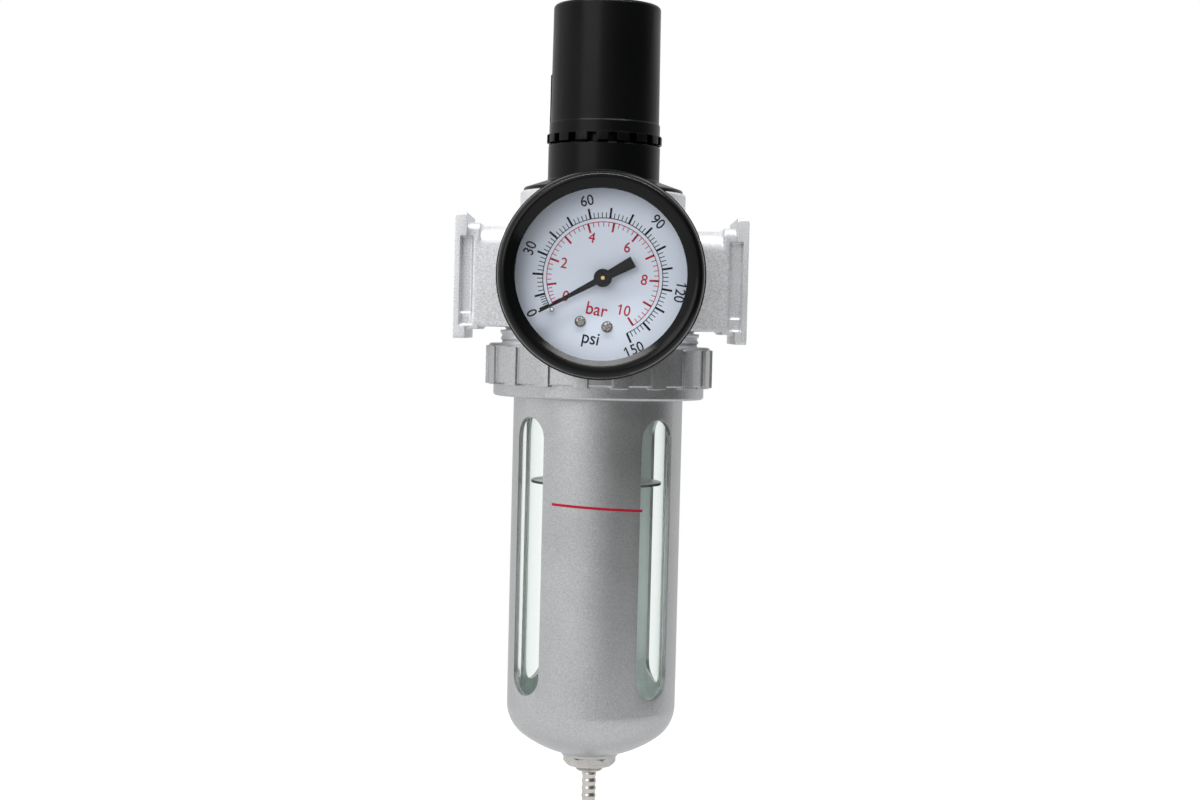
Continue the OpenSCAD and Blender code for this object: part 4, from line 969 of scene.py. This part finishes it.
class REGULATOR_OT_level_line(bpy.types.Operator):
    """Plain red level line on the guard's front"""

    bl_idname = "regulator.level_line"
    bl_label = "Level line"

    def execute(self, context):
        ink_t = 0.04 * MM
        r = guard_r + ink_t / 2
        start = math.radians(-30)
        reach = math.radians(62.5)
        slope = math.radians(-3)
        z = -65.3 * MM
        height = 0.75 * MM
        low = Vector((axis_x + r * math.sin(start), -r * math.cos(start), z - height / 2))
        piece = start_point("level_line", low)
        extrude(height * UP)
        bpy.ops.mesh.select_all(action="SELECT")
        bpy.ops.mesh.spin(steps=48, angle=reach, center=(axis_x, 0, 0), axis=-UP)
        bpy.ops.mesh.select_all(action="SELECT")
        bpy.ops.transform.rotate(value=slope, orient_axis="Y", center_override=(axis_x, -guard_r, z))
        bpy.ops.object.mode_set(mode="OBJECT")
        thicken(piece, ink_t)
        close_piece(piece)
        paint(piece, finishes["ink_red"])
        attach(piece, "bowl_set")
        return {"FINISHED"}


WIRE_SIDES = 14


class REGULATOR_OT_springs(bpy.types.Operator):
    """Range, valve and drain springs of round wire"""

    bl_idname = "regulator.springs"
    bl_label = "Springs"

    def execute(self, context):
        for name, node, wire, turns, body, pressed_by in (
            ("range_coil", "range_spring", 2.2 * MM, 6, "main", "nut_travel"),
            ("valve_coil", "valve_spring", 0.8 * MM, 4, "main", "valve_stroke"),
            ("drain_coil", "drain_spring", 0.5 * MM, 4, "bowl_set", "drain_push"),
        ):
            self.coil(name, node, wire, turns, body, pressed_by)
        return {"FINISHED"}

    def coil(self, name, node, wire, turns, body, pressed_by):
        """One spring in its node's place, wound from its wire's round outline."""
        low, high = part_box(node)
        r = (high.x - low.x - wire) / 2
        deselect()
        bpy.ops.mesh.primitive_circle_add(
            vertices=WIRE_SIDES, radius=wire / 2, location=(0, 0, 0), rotation=(math.pi / 2, 0, 0)
        )
        piece = context_piece(name)
        bpy.ops.object.transform_apply(rotation=True)
        edit_all()
        bpy.ops.transform.translate(value=(r, 0, 0))
        bpy.ops.object.mode_set(mode="OBJECT")
        piece.location = ((low.x + high.x) / 2, (low.y + high.y) / 2, low.z + wire / 2)
        wind(piece, "Z", high.z - low.z - wire, turns)
        close_piece(piece)
        paint(piece, finishes["steel"])
        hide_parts(node)
        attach(piece, body)
        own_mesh(piece)


RING_STEPS = 96
BEAD_STEPS = 10
WEB_STEPS = 6
WEB_W = 0.4 * MM
PLATE_GAP = 0.1 * MM
# The bead's radius is read within this of its top
CROWN_H = 0.01 * MM


class REGULATOR_OT_diaphragm(bpy.types.Operator):
    """Rubber diaphragm: a rim that stays, a middle that goes with the valve and a web between them"""

    bl_idname = "regulator.diaphragm"
    bl_label = "Diaphragm"

    def execute(self, context):
        low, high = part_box("diaphragm")
        plate_low, plate_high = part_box("diaphragm_plate")
        floor, top = low.z, plate_low.z
        spots = [spot.co for spot in nodes["diaphragm"].data.vertices]
        neck_r = min(math.hypot(spot.x - axis_x, spot.y) for spot in spots)
        crown = next(spot for spot in spots if spot.z > high.z - CROWN_H)
        bead_r = math.hypot(crown.x - axis_x, crown.y)
        web_r = (plate_high.x - plate_low.x) / 2 + PLATE_GAP
        rim_r = web_r + WEB_W
        outer_r = (high.x - low.x) / 2
        bead_turns = [step * math.pi / BEAD_STEPS for step in range(BEAD_STEPS + 1)]
        bead = [(bead_r + (high.z - top) * math.cos(turn), top + (high.z - top) * math.sin(turn))
                for turn in bead_turns]
        drop = [floor + (top - floor) * step / WEB_STEPS for step in range(WEB_STEPS + 1)]
        middle_part = self.turned("diaphragm_middle", [
            (neck_r, floor), (web_r, floor), (web_r, top), (neck_r, top), (neck_r, (floor + top) / 2),
        ])
        web = self.turned("diaphragm_web", [
            *((web_r, z) for z in drop), *((rim_r, z) for z in reversed(drop)),
        ])
        rim = self.turned("diaphragm_rim", [
            (rim_r, floor), (outer_r, floor), (outer_r, top), *bead, (rim_r, top),
        ])
        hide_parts("diaphragm")
        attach(rim, "main")
        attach(middle_part, "valve")
        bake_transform(web)
        return {"FINISHED"}

    def turned(self, name, outline):
        """A ring of rubber from its outline's radii and heights."""
        points = [Vector((axis_x + r, 0, z)) for r, z in outline]
        piece = start_point(name, points[0])
        draw_outline(points)
        bpy.ops.mesh.spin(steps=RING_STEPS, angle=TURN, center=(axis_x, 0, 0), axis=UP)
        bpy.ops.mesh.select_all(action="SELECT")
        bpy.ops.mesh.remove_doubles(threshold=SAME_SPOT)
        bpy.ops.mesh.normals_make_consistent(inside=False)
        close_piece(piece, 40)
        paint(piece, finishes["rubber"])
        return piece


class REGULATOR_OT_port_threads(bpy.types.Operator):
    """Pipe threads in the mouths of both ports"""

    bl_idname = "regulator.port_threads"
    bl_label = "Port threads"

    def execute(self, context):
        pitch = 1.814 * MM
        depth = 0.6 * MM
        sink = 0.1 * MM
        inset = 1.3 * MM
        turns = 7
        port = next(mount for mount in frame["record"]["mounts"] if mount["name"] == "inlet_port")
        r = port["dims"]["r_mm"] * MM
        low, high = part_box("body")
        for name, mouth, way in (("inlet_thread", low.x, 1), ("outlet_thread", high.x, -1)):
            deselect()
            bpy.ops.mesh.primitive_circle_add(
                vertices=4, radius=depth, location=(mouth + way * inset, 0, 0), rotation=(math.pi / 2, 0, 0)
            )
            piece = context_piece(name)
            bpy.ops.object.transform_apply(location=False, rotation=True)
            edit_all()
            bpy.ops.transform.translate(value=(0, 0, r + sink))
            bpy.ops.object.mode_set(mode="OBJECT")
            wind(piece, "X", way * pitch * turns, turns)
            close_piece(piece)
            paint(piece, finishes["casting"])
            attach(piece, "main")
        return {"FINISHED"}


def copy_of(node, name):
    """A copy of a CAD node with its loose triangles merged to plain faces."""
    pick(nodes[node])
    bpy.ops.object.duplicate()
    piece = context_piece(name)
    del piece["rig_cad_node"]
    bpy.ops.object.parent_clear(type="CLEAR_KEEP_TRANSFORM")
    bpy.ops.mesh.customdata_custom_splitnormals_clear()
    edit_all()
    bpy.ops.mesh.remove_doubles(threshold=SAME_SPOT)
    bpy.ops.mesh.dissolve_limited(angle_limit=SAME_PLANE)
    bpy.ops.mesh.normals_make_consistent(inside=False)
    bpy.ops.object.mode_set(mode="OBJECT")
    return piece


# Triangles of the finished body, and the cell size that its edges are softened at
BODY_FACES = 150000
BODY_GRAIN = 0.3 * MM


class REGULATOR_OT_body_casting(bpy.types.Operator):
    """Body with the soft edges and fillets of a die casting"""

    bl_idname = "regulator.body_casting"
    bl_label = "Body casting"

    def execute(self, context):
        piece = copy_of("body", "body_casting")
        apply_modifier(piece, "REMESH", mode="VOXEL", voxel_size=BODY_GRAIN)
        apply_modifier(piece, "SMOOTH", factor=0.5, iterations=2)
        apply_modifier(piece, "DECIMATE", ratio=BODY_FACES / (2 * len(piece.data.polygons)))
        close_piece(piece, 50)
        paint(piece, finishes["casting"])
        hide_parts("body")
        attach(piece, "main")
        return {"FINISHED"}


def from_axis(face):
    """A face's distance from the upright axis."""
    return math.hypot(face.center.x - axis_x, face.center.y)


RIM_W = 0.6 * MM
# A face whose normal has more than this along the axis is level
LEVEL = 0.9


class REGULATOR_OT_baffle_plate(bpy.types.Operator):
    """Pale baffle plate with a dark rim"""

    bl_idname = "regulator.baffle_plate"
    bl_label = "Baffle plate"

    def execute(self, context):
        piece = copy_of("baffle", "baffle_plate")
        low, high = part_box("baffle")
        rim_r = (high.x - low.x) / 2 - RIM_W
        apply_modifier(piece, "BEVEL", width=0.12 * MM, segments=2, limit_method="ANGLE")
        close_piece(piece, 40)
        paint(piece, finishes["milky"])
        piece.data.materials.append(finishes["nylon"])
        for face in piece.data.polygons:
            dark = from_axis(face) > rim_r and abs(face.normal.z) < LEVEL
            face.material_index = 1 if dark else 0
        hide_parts("baffle")
        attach(piece, "main")
        return {"FINISHED"}


# Edges sharper than this are eased, and the guard's inner face lies deeper than this
EASED_FROM = math.radians(38)
GUARD_WALL = 1.2 * MM


class REGULATOR_OT_eased_edges(bpy.types.Operator):
    """Pieces of the solids with their edges eased and their sliver faces merged"""

    bl_idname = "regulator.eased_edges"
    bl_label = "Eased edges"

    def execute(self, context):
        for node, width, weighted, body, slot, finish in (
            ("collar", 0.22 * MM, True, "collar", "collar_silver", "collar"),
            ("bowl_guard", 0.3 * MM, True, "bowl_set", "guard_silver", "guard"),
            ("knob", 0.24 * MM, True, "knob", "black_plastic", "knob"),
            ("drain_nut", 0.2 * MM, True, "bowl_set", "plated_steel", "plate"),
            ("gauge_bezel", 0, False, "main", "gauge_black", "bezel"),
            ("bowl", 0, True, "bowl_set", "clear_bowl", "bowl"),
            ("stop_pin", 0, True, "main", "brass", "steel"),
            ("valve_stem", 0, True, "valve", "brass", "brass"),
        ):
            piece = copy_of(node, node + "_eased")
            if width:
                apply_modifier(
                    piece, "BEVEL", width=width, segments=2, limit_method="ANGLE",
                    angle_limit=EASED_FROM, use_clamp_overlap=False,
                )
            close_piece(piece, 40)
            if weighted:
                apply_modifier(piece, "WEIGHTED_NORMAL", keep_sharp=True)
            paint(piece, finishes[finish])
            if node == "bowl_guard":
                self.pale_inside(piece)
            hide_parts(node)
            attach(piece, body)
        return {"FINISHED"}

    def pale_inside(self, piece):
        """Gives the guard's inner face a near-white paint: painted light that stands in for light coming in
        through the windows.
        """
        piece.data.materials.append(finishes["inside"])
        inner_r = guard_r - GUARD_WALL
        for face in piece.data.polygons:
            inward = face.normal.x * (face.center.x - axis_x) + face.normal.y * face.center.y < 0
            face.material_index = 1 if from_axis(face) < inner_r and inward else 0


class REGULATOR_PT_panel(bpy.types.Panel):
    """Lists the regulator's operators and settings"""

    bl_label = "Regulator"
    bl_idname = "REGULATOR_PT_panel"
    bl_space_type = "VIEW_3D"
    bl_region_type = "UI"
    bl_category = "Regulator"

    def draw(self, context):
        for operator in OPERATORS:
            self.layout.operator(operator.bl_idname)
        for group_of in settings():
            box = self.layout.box()
            for name in group_of.__annotations__:
                box.prop(group_of, name)


OPERATORS = (
    REGULATOR_OT_stage,
    REGULATOR_OT_finishes,
    REGULATOR_OT_dial_print,
    REGULATOR_OT_dial_screws,
    REGULATOR_OT_level_line,
    REGULATOR_OT_springs,
    REGULATOR_OT_diaphragm,
    REGULATOR_OT_port_threads,
    REGULATOR_OT_body_casting,
    REGULATOR_OT_baffle_plate,
    REGULATOR_OT_eased_edges,
)
CLASSES = (FinishSettings, DialSettings, StageSettings, *OPERATORS, REGULATOR_PT_panel)


def register():
    for cls in CLASSES:
        bpy.utils.register_class(cls)
    bpy.types.Scene.regulator_finish = PointerProperty(type=FinishSettings)
    bpy.types.Scene.regulator_dial = PointerProperty(type=DialSettings)
    bpy.types.Scene.regulator_stage = PointerProperty(type=StageSettings)


def unregister():
    del bpy.types.Scene.regulator_stage
    del bpy.types.Scene.regulator_dial
    del bpy.types.Scene.regulator_finish
    for cls in reversed(CLASSES):
        bpy.utils.unregister_class(cls)


def main():
    register()
    bpy.ops.regulator.stage()
    bpy.ops.regulator.finishes()
    bpy.ops.regulator.dial_print()
    bpy.ops.regulator.dial_screws()
    bpy.ops.regulator.level_line()
    bpy.ops.regulator.springs()
    bpy.ops.regulator.diaphragm()
    bpy.ops.regulator.port_threads()
    bpy.ops.regulator.body_casting()
    bpy.ops.regulator.baffle_plate()
    bpy.ops.regulator.eased_edges()


if __name__ == "__main__":
    main()
